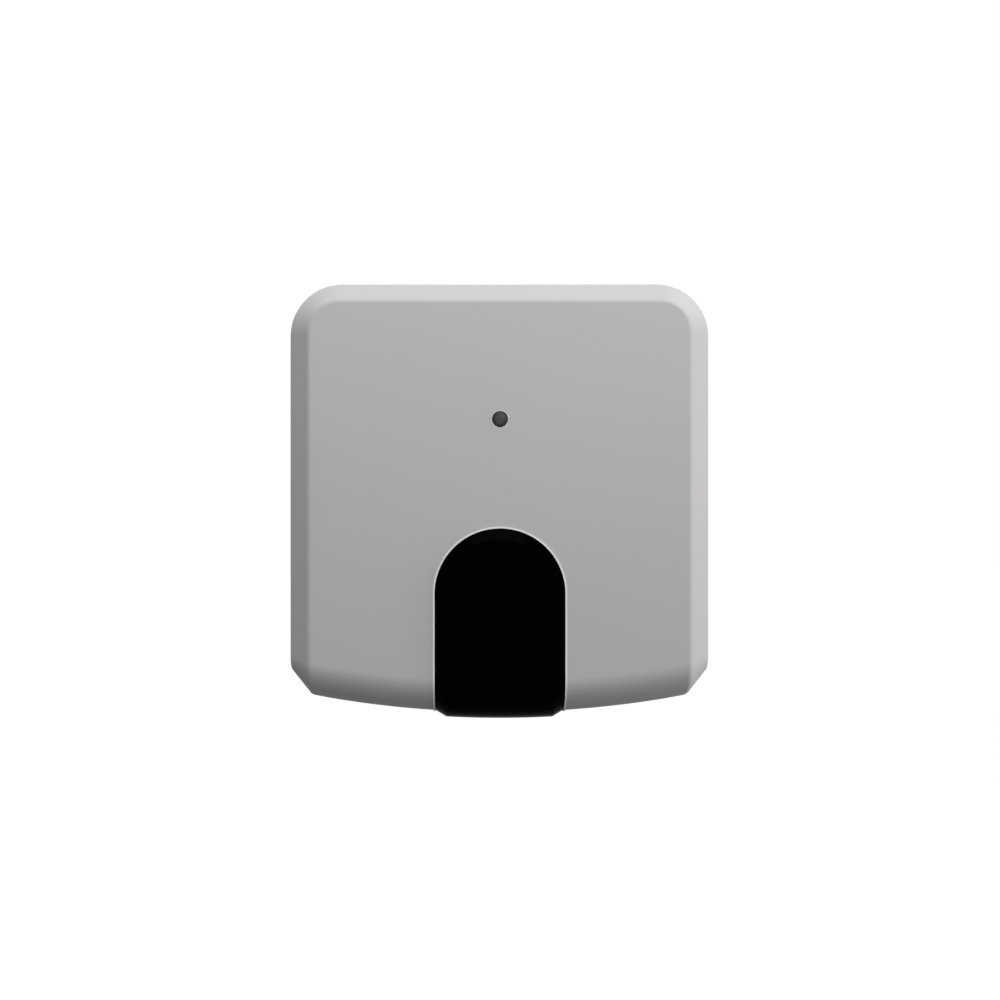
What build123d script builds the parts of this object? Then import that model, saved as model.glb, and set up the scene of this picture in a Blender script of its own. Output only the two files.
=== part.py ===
from build123d import *
import math
import os

# A small wall controller. The origin is the middle of its rear face, which lies on the wall.
# The front looks along -Y, +X is to the right as seen from the front and +Z is up.
# A depth is a distance from the wall toward the front.

# Case
case_width = 78.0
case_height = 80.1
case_depth = 27.0
corner_radius = 9.7
belly_radius = 190.0
bend_radius = 6.5
bevel = 4.0
bevel_outer_round = 0.8
bevel_inner_round = 1.2
wall = 2.0

# Rear cover
rear_depth = 4.0
rear_panel = 2.0
rear_edge_round = 1.0
seam_step = 0.5
tongue_length = 2.5
tongue_thickness = 1.2
tongue_gap = 0.15
vent_length = 14.0
vent_width = 1.6
vent_pitch = 3.6
vent_count = 6
vent_height = -17.0

# Keyholes for two wall screws
keyhole_spacing = 40.0
keyhole_height = 18.0
keyhole_entry_radius = 3.8
keyhole_slot_width = 4.0
keyhole_rise = 6.0
keyhole_lip = 1.6
keyhole_pocket = 4.5
keyhole_wall = 1.2

# Screws and the bosses that take them
screw_fit = 0.05
pass_gap = 0.3
boss_gap = 0.3
case_screw_side_inset = 6.5
case_screw_end_inset = 9.55
case_screw_radius = 1.3
case_screw_length = 10.0
case_screw_head_radius = 2.7
case_screw_head = 2.0
case_screw_drive = 3.0
case_screw_sunk = 1.0
case_boss_radius = 3.2
case_boss_hole = 12.0
rear_boss_radius = 4.0
board_screw_side_inset = 3.0
board_screw_top_inset = 6.0
board_screw_low_inset = 14.5
board_screw_radius = 1.05
board_screw_length = 6.0
board_screw_head_radius = 2.0
board_screw_head = 1.5
board_screw_drive = 2.2
board_post_radius = 2.5
board_post_hole = 5.5

# Window and the lip round it
window_radius = 11.85
window_rise = 22.45
window_back = 9.5
window_proud = 1.1
window_skin = 2.0
window_edge_width = 1.95
window_edge_drop = 1.05
window_corner = 2.5
window_skirt = 1.6
window_flange = 1.5
window_flange_thickness = 1.2
window_seat_gap = 0.05
window_gap = 0.1
lip_width = 0.35
lip_rise = 0.2

# Button
button_height = 14.3
button_radius = 1.35
button_proud = 0.25
button_bevel = 0.2
button_gap = 0.08
button_hole_bevel = 0.1
button_flange_radius = 4.5
button_flange = 0.8
button_flange_gap = 0.1
button_stem_gap = 0.02
collar_gap = 0.15
collar_wall = 1.3
collar_length = 2.8

# Push switch under the button
switch_width = 6.0
switch_body = 3.2
switch_floor = 0.8
switch_well_radius = 2.4
switch_gap = 0.1
switch_pin = (0.3, 0.7)
switch_pin_spread = 4.5
switch_pin_rise = 1.5
plunger_radius = 1.75
plunger_rise = 1.55
plunger_flange = 0.7
plunger_nib_radius = 1.0
dome_radius = 2.3
dome_top_radius = 1.2
dome_height = 0.4
dome_metal = 0.1
switch_cover_metal = 0.25
switch_cover_tab = 4.0
switch_cover_skirt = 2.2

# Main board
board_side_gap = 11.0
board_top_gap = 5.05
board_bottom_gap = 5.55
board_front_gap = 9.0
board_thickness = 1.6
board_corner = 1.5
bay_side_gap = 0.4
bay_rise = 9.0
lead = 0.5
lead_end = 0.8
lead_hole_radius = 0.5
small_hole_sides = 8

# Infrared emitters and their holder
emitter_count = 3
emitter_spacing = 5.6
emitter_yaw = 20.0
emitter_radius = 1.5
emitter_length = 5.3
emitter_flange_radius = 1.9
emitter_flange = 1.0
emitter_inset = 8.2
emitter_setback = 1.0
emitter_lead_spread = 2.54
emitter_lead_run = 1.3
emitter_lead_gap = 1.2
holder_width = 19.2
holder_height = 6.0
holder_thickness = 2.6
holder_rim = 0.6
holder_bevel = 0.5
holder_gap = 0.1
holder_arm = 1.6
holder_foot_width = 4.4
holder_foot_margin = 1.0
holder_foot_height = 6.7
holder_foot_thickness = 1.2
holder_peg_radius = 0.75
holder_peg_out = 1.6
holder_peg_rise = 3.5

# Infrared receiver
receiver_lift = 5.1
receiver_width = 5.6
receiver_length = 6.95
receiver_body = 3.0
receiver_lens_radius = 2.0
receiver_lens_width = 4.4
receiver_corner = 0.5
receiver_lead_pitch = 2.54
receiver_lead_run = 1.6
receiver_lead_lift = 1.5

# Power socket
socket_inset = 6.0
socket_width = 7.7
socket_height = 3.95
socket_shoulder = 2.1
socket_taper = 0.65
socket_corner = 0.4
socket_length = 9.2
socket_overhang = 1.0
socket_metal = 0.35
socket_tab = 0.8
socket_tab_length = 1.6
socket_tab_inset = 2.0
entry_width = 11.5
entry_height = 8.5
entry_corner = 2.0
insulator_length = 2.0
insulator_gap = 0.08
plate_width = 5.0
plate_thickness = 0.9
plate_setback = 1.5
contact_count = 5
contact_pitch = 0.8
contact_width = 0.35
contact_metal = 0.2
contact_tail = 1.0

# Wi-fi module on the rear of the board; a place is (x, z) and a size is (width, height)
wifi_side_inset = 5.3
wifi_top_inset = 3.0
wifi_size = (15.0, 24.0)
wifi_board_thickness = 0.8
wifi_notch_radius = 0.4
wifi_notch_pitch = 1.9
wifi_notch_count = 8
shield_size = (12.4, 15.5)
shield_rise = 2.3
shield_margin = 1.2
shield_corner = 1.0
shield_bevel = 0.3
antenna_width = 0.6
antenna_copper = 0.1
antenna_step = 1.4
antenna_reach = 3.6
antenna_turns = 4
antenna_gap = 1.0

# Other parts on the rear of the board; an inset is taken from the nearer side of the board
chip_inset = 16.0
chip_height = -4.0
chip_size = 7.0
chip_rise = 1.4
chip_stand = 0.1
chip_pin_count = 8
chip_pin_pitch = 0.8
chip_pin_width = 0.35
chip_pin_reach = 1.0
leg_foot = 0.5
leg_metal = 0.15
crystal_inset = 13.5
crystal_height = -15.0
crystal_size = (11.0, 4.6)
crystal_rise = 3.4
crystal_rim = 0.4
can_insets = [18.5, 9.5]
can_height = -9.0
can_radius = 3.15
can_rise = 7.2
can_bevel = 0.4
can_groove_height = 1.3
can_groove = 0.25
can_base_size = 6.8
can_base_corner = 1.4
can_base_rise = 0.8
inductor_inset = 18.0
inductor_height = 1.5
inductor_size = 6.0
inductor_rise = 3.0
inductor_corner = 1.5
inductor_dish_radius = 2.0
inductor_dish = 0.3
regulator_inset = 8.0
regulator_height = 1.0
regulator_size = (6.5, 3.5)
regulator_rise = 1.6
regulator_reach = 1.7
regulator_tab_width = 3.0
regulator_leg_width = 0.7
regulator_leg_pitch = 2.3
driver_lift = 4.6
driver_spacing = 6.5
driver_count = 3
driver_size = (2.9, 1.3)
driver_rise = 1.0
driver_leg_width = 0.4
driver_leg_reach = 0.6
driver_leg_pitch = 1.9
diode_inset = 13.0
diode_height = -16.2
diode_size = (4.3, 2.6)
diode_rise = 2.2
diode_lead = (0.4, 1.5)
fuse_inset = 8.6
fuse_lift = 12.0
fuse_size = (3.2, 4.5)
fuse_rise = 0.9
fuse_notch_radius = 0.5
resistor_size = (0.8, 1.6)
resistor_rise = 0.45
resistor_pitch = 2.0
resistor_left_rows = [(16.0, 3.2), (8.5, -24.0)]
resistor_right_rows = [(13.5, -22.5), (14.0, 12.0)]
resistor_row_counts = [6, 4, 2, 5]
capacitor_size = (1.25, 2.0)
capacitor_rise = 1.0
capacitor_pitch = 2.6
capacitor_left_rows = [(24.0, -3.0)]
capacitor_right_rows = [(8.0, 7.0), (18.0, 7.5), (11.5, 18.0)]
capacitor_row_counts = [2, 3, 3, 4]
header_inset = 5.0
header_height = -7.5
header_pitch = 2.54
header_pin_count = 5
header_base_rise = 2.5
header_notch = 0.5
header_pin = 0.64
header_pin_rise = 6.0

# Status light on the front of the board
status_place = (5.4, 14.8)
status_size = (2.0, 1.25)
status_base = 0.4
status_lens = (1.4, 1.0)
status_lens_rise = 0.6
status_taper = 10.0

# Sizes and places that follow from those above
half_width = case_width / 2
case_top = case_height / 2
case_bottom = -case_height / 2
cover_inside = case_depth - wall
case_screw_x = half_width - case_screw_side_inset
case_screw_z = case_top - case_screw_end_inset
window_height = case_bottom + window_rise
board_width = case_width - 2 * board_side_gap
board_top = case_top - board_top_gap
board_bottom = case_bottom + board_bottom_gap
board_front = case_depth - board_front_gap
board_back = board_front - board_thickness
board_left = -board_width / 2
board_right = board_width / 2
board_screw_x = board_right - board_screw_side_inset
board_screw_top = board_top - board_screw_top_inset
board_screw_low = board_bottom + board_screw_low_inset
bay_half_width = holder_width / 2 + bay_side_gap
bay_top = board_bottom + bay_rise
emitter_lead_height = bay_top + emitter_lead_gap
holder_foot_low = board_bottom + holder_foot_margin
holder_foot_high = holder_foot_low + holder_foot_height
holder_peg_x = holder_width / 2 + holder_peg_out
holder_peg_height = holder_foot_low + holder_peg_rise
receiver_height = window_height + receiver_lift
socket_x = board_right - socket_inset
tongue_inset = wall + tongue_gap
rear_boss_top = rear_depth + tongue_length
boss_meet = rear_boss_top + boss_gap
case_screw_seat = case_screw_sunk + case_screw_head
emitter_depth = case_depth - emitter_inset
emitter_height = case_bottom + emitter_inset
opening_radius = window_radius + window_gap
opening_back = window_back - window_gap
lip_radius = opening_radius + lip_width
flange_radius = window_radius + window_flange
flange_back = window_back - window_flange
collar_radius = button_flange_radius + collar_gap
plunger_lift = switch_body + switch_cover_metal + plunger_rise
socket_mouth = board_bottom - socket_overhang
socket_back = socket_mouth + socket_length
socket_depth = board_back - socket_height / 2
wifi_place = (
    board_left + wifi_side_inset + wifi_size[0] / 2,
    board_top - wifi_top_inset - wifi_size[1] / 2,
)
driver_height = bay_top + driver_lift
chip_place = (board_left + chip_inset, chip_height)
crystal_place = (board_left + crystal_inset, crystal_height)
header_place = (board_left + header_inset, header_height)
can_places = [(board_right - inset, can_height) for inset in can_insets]
inductor_place = (board_right - inductor_inset, inductor_height)
regulator_place = (board_right - regulator_inset, regulator_height)
diode_place = (board_right - diode_inset, diode_height)
fuse_place = (board_right - fuse_inset, board_bottom + fuse_lift)
resistor_middles = [(board_left + inset, z) for inset, z in resistor_left_rows]
resistor_middles += [(board_right - inset, z) for inset, z in resistor_right_rows]
capacitor_middles = [(board_left + inset, z) for inset, z in capacitor_left_rows]
capacitor_middles += [(board_right - inset, z) for inset, z in capacitor_right_rows]
shield_place = (wifi_place[0], wifi_place[1] - wifi_size[1] / 2 + shield_margin + shield_size[1] / 2)
chip_middle = chip_stand + chip_rise / 2

case_screw_places = [(x, z) for x in (-case_screw_x, case_screw_x) for z in (-case_screw_z, case_screw_z)]
board_screw_places = [
    (x, z) for x in (-board_screw_x, board_screw_x) for z in (board_screw_low, board_screw_top)
]
keyhole_places = [(x, keyhole_height) for x in (-keyhole_spacing / 2, keyhole_spacing / 2)]
keyhole_slot_places = [(x, z + keyhole_rise / 2) for x, z in keyhole_places]
holder_peg_places = [(-holder_peg_x, holder_peg_height), (holder_peg_x, holder_peg_height)]
switch_pin_x = (switch_width + switch_pin[0]) / 2
switch_pin_places = [
    (x, button_height + z)
    for x in (-switch_pin_x, switch_pin_x)
    for z in (-switch_pin_spread / 2, switch_pin_spread / 2)
]
header_pin_places = [
    (header_place[0], header_place[1] + (number - (header_pin_count - 1) / 2) * header_pitch)
    for number in range(header_pin_count)
]
receiver_lead_height = receiver_height - receiver_length / 2 - receiver_lead_run
receiver_lead_places = [(x, receiver_lead_height) for x in (-receiver_lead_pitch, 0, receiver_lead_pitch)]

# Plane that faces out of the bend, forward and down, and one such plane for each emitter
bend_plane = Plane((0, -emitter_depth, emitter_height), x_dir=(1, 0, 0), z_dir=(0, -1, -1))
emitter_planes = []
for number in range(emitter_count):
    side = number - (emitter_count - 1) / 2
    aim = Location(bend_plane) * Location((side * emitter_spacing, 0, 0), (0, side * emitter_yaw, 0))
    emitter_planes.append(Plane(aim).offset(emitter_setback))

# Each emitter lead runs back from the emitter, up along the board and then through it
emitter_lead_paths = []
for aimed in emitter_planes:
    for offset_x in (-emitter_lead_spread / 2, emitter_lead_spread / 2):
        start = aimed.from_local_coords((offset_x, 0, 0))
        knee = aimed.from_local_coords((offset_x, 0, -emitter_lead_run))
        turn = (knee.X, knee.Y, emitter_lead_height)
        emitter_lead_paths.append([start, knee, turn, (knee.X, lead_end - board_back, emitter_lead_height)])
emitter_lead_places = [(path[2][0], emitter_lead_height) for path in emitter_lead_paths]


def at_depth(depth):
    """Sketch plane that lies at a depth from the wall and faces the front."""
    return Plane.XZ.offset(depth)


def on_board_rear(place, lift=0.0):
    """Plane on the rear of the board, or above it by a lift, that faces the wall."""
    return Plane((place[0], lift - board_back, place[1]), x_dir=(1, 0, 0), z_dir=(0, 1, 0))


def on_board_front(place, lift=0.0):
    """Plane on the front of the board, or above it by a lift, that faces the front."""
    return Plane((place[0], -board_front - lift, place[1]), x_dir=(1, 0, 0), z_dir=(0, -1, 0))


def row_places(middles, counts, pitch):
    """Places along level rows, each given by its middle and its count."""
    return [
        (x + (number - (count - 1) / 2) * pitch, z)
        for (x, z), count in zip(middles, counts)
        for number in range(count)
    ]


def lower_side_edges(form):
    """Edges where each flat side wall meets the bend and the bottom."""
    edges = ShapeList()
    for side_wall in form.faces().filter_by(Plane.YZ):
        edges += side_wall.edges().filter_by(Axis.Z, reverse=True).sort_by(Axis.Z)[:2]
    return edges


def front_rim(form):
    """Edges of the front face apart from its smooth join with the bend."""
    return form.faces().sort_by(Axis.Y)[0].edges().sort_by(Axis.Z)[1:]


def case_form(inset, back=0.0, rounded=False):
    """Form of the case drawn in by inset, from the depth back to its front."""
    half = half_width - inset
    top = case_top - inset
    bottom = case_bottom + inset
    belly = belly_radius - inset
    corner = corner_radius - inset
    depth = case_depth - inset
    slant = bevel - inset * (2 - math.sqrt(2))
    side_end = bottom + belly - math.sqrt(belly**2 - half**2)
    with BuildPart() as form:
        with BuildSketch(at_depth(back)):
            with BuildLine():
                Line((-half, side_end), (-half, top - corner))
                RadiusArc((-half, top - corner), (-half + corner, top), corner)
                Line((-half + corner, top), (half - corner, top))
                RadiusArc((half - corner, top), (half, top - corner), corner)
                Line((half, top - corner), (half, side_end))
                ThreePointArc((half, side_end), (0, bottom), (-half, side_end))
            make_face()
        extrude(amount=depth - back)
        fillet(form.faces().sort_by(Axis.Y)[0].edges().sort_by(Axis.Z)[0], bend_radius - inset)
        chamfer(front_rim(form) + lower_side_edges(form), slant)
        if rounded:
            outer = form.edges().filter_by(Plane.XZ).group_by(Axis.Y)[1]
            fillet(outer + lower_side_edges(form), bevel_outer_round - inset)
            inner = front_rim(form)
            for face in form.faces().sort_by(Axis.Z)[:2]:
                across = face.edges().sort_by(Axis.X)
                inner += ShapeList([across[0], across[-1]])
            fillet(inner, bevel_inner_round - inset)
    return form.part


def case_slice(inset, back, front, rounded=False):
    """Slice of the case form between two depths."""
    with BuildPart() as piece:
        add(case_form(inset, back, rounded))
        split(bisect_by=at_depth(front), keep=Keep.BOTTOM)
    return piece.part


def arch(radius, back, front, corner):
    """Upright arch that runs down past the bottom of the case, with rounded rear corners."""
    floor = case_bottom - radius
    with BuildPart() as prism:
        with BuildSketch(at_depth(back)):
            with BuildLine():
                Line((-radius, floor), (-radius, window_height))
                RadiusArc((-radius, window_height), (radius, window_height), radius)
                Line((radius, window_height), (radius, floor))
                Line((radius, floor), (-radius, floor))
            make_face()
        extrude(amount=front - back)
        fillet(prism.edges().filter_by(Axis.Z).group_by(Axis.Y)[-1], corner)
    return prism.part


def arch_of_case(inset, radius, back, corner):
    """What an arch leaves of the case form drawn in by inset."""
    with BuildPart() as piece:
        add(case_form(inset))
        add(arch(radius, back, case_depth + radius, corner), mode=Mode.INTERSECT)
    return piece.part


def screw(radius, length, head_radius, head, drive):
    """Cross-head screw whose head seats on the origin and whose tip points along +Z."""
    with BuildPart() as fastener:
        with BuildSketch(Plane.XZ):
            with BuildLine():
                Polyline(
                    (0, -head),
                    (head_radius, -head),
                    (head_radius, 0),
                    (radius, 0),
                    (radius, length - radius),
                    (0, length),
                    close=True,
                )
            make_face()
        revolve(axis=Axis.Z)
        with BuildSketch(Plane.XY.offset(-head)):
            Rectangle(drive, drive / 4)
            Rectangle(drive / 4, drive)
        extrude(amount=head / 2, mode=Mode.SUBTRACT)
    return fastener.part


def gull_leg(width, middle, reach, metal):
    """Bent leg that leaves a body at the origin along +X at a middle height and stands on Z = 0."""
    knee = reach - leg_foot
    with BuildPart() as leg:
        with BuildSketch(Plane.XZ):
            with BuildLine():
                Polyline(
                    (0, middle),
                    (knee, middle),
                    (knee, metal),
                    (reach, metal),
                    (reach, 0),
                    (knee - metal, 0),
                    (knee - metal, middle - metal),
                    (0, middle - metal),
                    close=True,
                )
            make_face()
        extrude(amount=width / 2, both=True)
    return leg.part


def bent_lead(points):
    """Square lead along straight runs with mitred corners."""
    with BuildPart() as bent:
        with BuildLine() as path:
            Polyline(*points)
        with BuildSketch(Plane(path.line @ 0, z_dir=path.line % 0)):
            Rectangle(lead, lead)
        sweep(path=path.line, transition=Transition.RIGHT)
    return bent.part


os.makedirs("parts", exist_ok=True)

# Everything that stands inside the front cover, trimmed to the middle of its wall
with BuildPart() as cover_fittings:
    with BuildSketch(at_depth(boss_meet)):
        with Locations(*case_screw_places):
            Circle(case_boss_radius)
    extrude(amount=case_depth)
    with BuildSketch(at_depth(board_front)):
        with Locations(*board_screw_places):
            Circle(board_post_radius)
    extrude(amount=case_depth)
    with BuildSketch(at_depth(cover_inside - collar_length)):
        with Locations((0, button_height)):
            Circle(collar_radius + collar_wall)
            Circle(collar_radius, mode=Mode.SUBTRACT)
    extrude(amount=case_depth)
    add(case_form(wall / 2), mode=Mode.INTERSECT)

# Raised lip on the case round the window
with BuildPart() as window_lip:
    add(arch_of_case(-lip_rise, lip_radius, opening_back - lip_width, window_corner + lip_width))
    add(case_form(wall / 2), mode=Mode.SUBTRACT)

with BuildPart() as front_cover:
    add(case_form(0, rear_depth, rounded=True))
    add(case_form(wall, rear_depth), mode=Mode.SUBTRACT)
    add(cover_fittings.part)
    add(window_lip.part)
    add(arch(opening_radius, opening_back, case_depth + wall, window_corner), mode=Mode.SUBTRACT)
    with BuildSketch(at_depth(cover_inside)):
        with Locations((0, button_height)):
            Circle(button_radius + button_gap)
    extrude(amount=wall, mode=Mode.SUBTRACT)
    chamfer(front_cover.faces().sort_by(Axis.Y)[0:1].edges().filter_by(GeomType.CIRCLE), button_hole_bevel)
    with BuildSketch(at_depth(boss_meet)):
        with Locations(*case_screw_places):
            Circle(case_screw_radius + screw_fit)
    extrude(amount=case_boss_hole, mode=Mode.SUBTRACT)
    with BuildSketch(at_depth(board_front)):
        with Locations(*board_screw_places):
            Circle(board_screw_radius + screw_fit)
    extrude(amount=board_post_hole, mode=Mode.SUBTRACT)
    with BuildSketch(Plane.XY.offset(case_bottom - wall)):
        with Locations((socket_x, -socket_depth)):
            RectangleRounded(entry_width, entry_height, entry_corner)
    extrude(amount=socket_mouth - case_bottom + wall, mode=Mode.SUBTRACT)
front_cover.part.label = "front_cover"
export_step(front_cover.part, "parts/front_cover.step")

# Rear cover: panel, rim, tongue that enters the front cover, screw bosses and keyhole pockets
with BuildPart() as rear_cover:
    add(case_slice(seam_step, 0, rear_depth, rounded=True))
    fillet(rear_cover.faces().sort_by(Axis.Y)[-1].edges(), rear_edge_round)
    add(case_slice(tongue_inset, rear_panel, rear_depth + tongue_length))
    add(case_form(tongue_inset + tongue_thickness, rear_panel), mode=Mode.SUBTRACT)
    with BuildSketch(at_depth(rear_panel)):
        with Locations(*case_screw_places):
            Circle(rear_boss_radius)
    extrude(amount=rear_boss_top - rear_panel)
    with BuildSketch(at_depth(rear_panel)):
        with Locations(*keyhole_slot_places):
            SlotCenterToCenter(keyhole_rise, 2 * (keyhole_entry_radius + keyhole_wall), rotation=90)
    extrude(amount=keyhole_pocket + keyhole_wall - rear_panel)
    with BuildSketch(at_depth(keyhole_lip)):
        with Locations(*keyhole_slot_places):
            SlotCenterToCenter(keyhole_rise, 2 * keyhole_entry_radius, rotation=90)
    extrude(amount=keyhole_pocket - keyhole_lip, mode=Mode.SUBTRACT)
    with BuildSketch(at_depth(0)):
        with Locations(*keyhole_places):
            Circle(keyhole_entry_radius)
        with Locations(*keyhole_slot_places):
            SlotCenterToCenter(keyhole_rise, keyhole_slot_width, rotation=90)
    extrude(amount=keyhole_lip, mode=Mode.SUBTRACT)
    with BuildSketch(at_depth(0)):
        with Locations(*case_screw_places):
            Circle(case_screw_head_radius + pass_gap)
    extrude(amount=case_screw_seat, mode=Mode.SUBTRACT)
    with BuildSketch(at_depth(0)):
        with Locations(*case_screw_places):
            Circle(case_screw_radius + pass_gap)
    extrude(amount=rear_boss_top, mode=Mode.SUBTRACT)
    with BuildSketch(at_depth(0)):
        with Locations((0, vent_height)):
            with GridLocations(vent_length, vent_pitch, 1, vent_count):
                SlotOverall(vent_length, vent_width)
    extrude(amount=rear_panel, mode=Mode.SUBTRACT)
rear_cover.part.label = "rear_cover"
export_step(rear_cover.part, "parts/rear_cover.step")

# Window: a proud skin with a bevelled edge, a skirt through the opening and a flange behind the wall
with BuildPart() as window_block:
    add(arch_of_case(-window_proud, window_radius, window_back, window_corner))
    skin = window_block.faces().sort_by(Axis.Z)[:2] + window_block.faces().sort_by(Axis.Y)[:1]
    borders = skin.edges()
    chamfer([edge for edge in borders if borders.count(edge) == 1], window_edge_width, window_edge_drop)

with BuildPart() as ir_window:
    add(window_block.part)
    add(arch_of_case(wall + window_seat_gap, flange_radius, flange_back, window_corner))
    add(
        arch_of_case(
            window_skin - window_proud,
            window_radius - window_skirt,
            window_back + window_skirt,
            window_corner - window_skirt,
        ),
        mode=Mode.SUBTRACT,
    )
    add(case_form(wall + window_seat_gap + window_flange_thickness), mode=Mode.SUBTRACT)
ir_window.part.label = "ir_window"
export_step(ir_window.part, "parts/ir_window.step")

# Fasteners, driven from the rear
case_screw = screw(
    case_screw_radius, case_screw_length, case_screw_head_radius, case_screw_head, case_screw_drive
)
with BuildPart() as case_screws:
    with Locations(*[Plane((x, -case_screw_seat, z), z_dir=(0, -1, 0)) for x, z in case_screw_places]):
        add(case_screw)
case_screws.part.label = "case_screws"
export_step(case_screws.part, "parts/case_screws.step")

board_screw = screw(
    board_screw_radius, board_screw_length, board_screw_head_radius, board_screw_head, board_screw_drive
)
with BuildPart() as board_screws:
    with Locations(*[Plane((x, -board_back, z), z_dir=(0, -1, 0)) for x, z in board_screw_places]):
        add(board_screw)
board_screws.part.label = "board_screws"
export_step(board_screws.part, "parts/board_screws.step")

# Main board, with the bay for the emitters and the holes of everything that passes through it
with BuildPart() as main_board:
    with BuildSketch(at_depth(board_back)) as board_outline:
        with Locations((0, (board_top + board_bottom) / 2)):
            Rectangle(board_width, board_top - board_bottom)
        with Locations((0, board_bottom)):
            Rectangle(2 * bay_half_width, 2 * (bay_top - board_bottom), mode=Mode.SUBTRACT)
        fillet(board_outline.vertices(), board_corner)
        with Locations(*board_screw_places):
            Circle(board_screw_radius + pass_gap, mode=Mode.SUBTRACT)
        with Locations(*emitter_lead_places, *receiver_lead_places):
            RegularPolygon(lead_hole_radius, small_hole_sides, mode=Mode.SUBTRACT)
        with Locations(*switch_pin_places, *header_pin_places):
            RegularPolygon(lead_hole_radius, small_hole_sides, mode=Mode.SUBTRACT)
        with Locations(*holder_peg_places):
            Circle(holder_peg_radius + screw_fit, mode=Mode.SUBTRACT)
    extrude(amount=board_thickness)
main_board.part.label = "main_board"
export_step(main_board.part, "parts/main_board.step")

# Wi-fi module: its own board with notched solder pads, a metal shield and a folded antenna trace
with BuildPart() as wifi_board:
    with BuildSketch(on_board_rear(wifi_place)):
        Rectangle(*wifi_size)
        with GridLocations(wifi_size[0], wifi_notch_pitch, 2, wifi_notch_count):
            RegularPolygon(wifi_notch_radius, small_hole_sides, mode=Mode.SUBTRACT)
    extrude(amount=wifi_board_thickness)
wifi_board.part.label = "wifi_board"
export_step(wifi_board.part, "parts/wifi_board.step")

with BuildPart() as wifi_shield:
    with BuildSketch(on_board_rear(shield_place, wifi_board_thickness)):
        RectangleRounded(*shield_size, shield_corner)
    extrude(amount=shield_rise)
    chamfer(wifi_shield.faces().sort_by(Axis.Y)[-1].edges(), shield_bevel)
wifi_shield.part.label = "wifi_shield"
export_step(wifi_shield.part, "parts/wifi_shield.step")

antenna_left = wifi_place[0] - antenna_turns * antenna_step
antenna_low = shield_place[1] + shield_size[1] / 2 + antenna_gap
antenna_high = antenna_low + antenna_reach
antenna_points = [(antenna_left, antenna_low)]
for number in range(antenna_turns):
    x = antenna_left + 2 * number * antenna_step
    antenna_points += [(x, antenna_high), (x + antenna_step, antenna_high)]
    antenna_points += [(x + antenna_step, antenna_low), (x + 2 * antenna_step, antenna_low)]
with BuildPart() as wifi_antenna:
    with BuildSketch(at_depth(board_back - wifi_board_thickness)):
        with BuildLine():
            Polyline(*antenna_points)
        trace(line_width=antenna_width)
    extrude(amount=-antenna_copper)
wifi_antenna.part.label = "wifi_antenna"
export_step(wifi_antenna.part, "parts/wifi_antenna.step")

# Controller chip, with pins along its four sides
with BuildPart() as controller_chip:
    with BuildSketch(on_board_rear(chip_place, chip_stand)):
        Rectangle(chip_size, chip_size)
    extrude(amount=chip_rise)
    chamfer(controller_chip.faces().sort_by(Axis.Y)[-1].edges(), chip_stand)
controller_chip.part.label = "controller_chip"
export_step(controller_chip.part, "parts/controller_chip.step")

pin_spots = []
for quarter in range(4):
    facing = Location(on_board_rear(chip_place)) * Location((0, 0, 0), (0, 0, 90 * quarter))
    for number in range(chip_pin_count):
        along = (number - (chip_pin_count - 1) / 2) * chip_pin_pitch
        pin_spots.append(facing * Location((chip_size / 2, along, 0)))
with BuildPart() as controller_pins:
    with Locations(*pin_spots):
        add(gull_leg(chip_pin_width, chip_middle, chip_pin_reach, leg_metal))
controller_pins.part.label = "controller_pins"
export_step(controller_pins.part, "parts/controller_pins.step")

# Power socket: a folded metal shell, an insulator with its tongue, and contacts in the insulator's grooves
with BuildPart() as usb_shell:
    with BuildSketch(Plane.XY.offset(socket_mouth)) as socket_outline:
        with BuildLine():
            Polyline(
                (socket_x - socket_width / 2, -board_back),
                (socket_x - socket_width / 2, socket_shoulder - board_back),
                (socket_x - socket_width / 2 + socket_taper, socket_height - board_back),
                (socket_x + socket_width / 2 - socket_taper, socket_height - board_back),
                (socket_x + socket_width / 2, socket_shoulder - board_back),
                (socket_x + socket_width / 2, -board_back),
                close=True,
            )
        make_face()
        fillet(socket_outline.vertices().sort_by(Axis.Y)[2:], socket_corner)
    extrude(amount=socket_length)
    ends = usb_shell.faces().filter_by(Axis.Z)
    offset(amount=-socket_metal, openings=ends)
    with BuildSketch(on_board_rear((socket_x, socket_mouth + socket_tab_inset + socket_tab_length / 2))):
        with Locations((-(socket_width + socket_tab) / 2, 0), ((socket_width + socket_tab) / 2, 0)):
            Rectangle(socket_tab, socket_tab_length)
    extrude(amount=socket_metal)
usb_shell.part.label = "usb_shell"
export_step(usb_shell.part, "parts/usb_shell.step")

contact_xs = [x for x, z in row_places([(socket_x, socket_back)], [contact_count], contact_pitch)]
contact_depth = socket_depth + plate_thickness / 2 + contact_metal
groove_depth = socket_depth + (plate_thickness + contact_metal) / 2
insulator_depth = board_back - socket_metal - insulator_gap
insulator_rise = socket_height - 2 * (socket_metal + insulator_gap)
insulator_width = socket_width - 2 * (socket_metal + insulator_gap + socket_taper)
with BuildPart() as usb_tongue:
    with BuildSketch(Plane.XY.offset(socket_back)):
        with Locations((socket_x, insulator_rise / 2 - insulator_depth)):
            Rectangle(insulator_width, insulator_rise)
    extrude(amount=-insulator_length)
    with BuildSketch(Plane.XY.offset(socket_back)):
        with Locations((socket_x, -socket_depth)):
            Rectangle(plate_width, plate_thickness)
    extrude(amount=plate_setback - socket_length)
    with BuildSketch(Plane.XY.offset(socket_back)):
        with Locations(*[(x, -groove_depth) for x in contact_xs]):
            Rectangle(contact_width + insulator_gap, contact_metal + insulator_gap)
    extrude(amount=-insulator_length, mode=Mode.SUBTRACT)
usb_tongue.part.label = "usb_tongue"
export_step(usb_tongue.part, "parts/usb_tongue.step")

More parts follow.
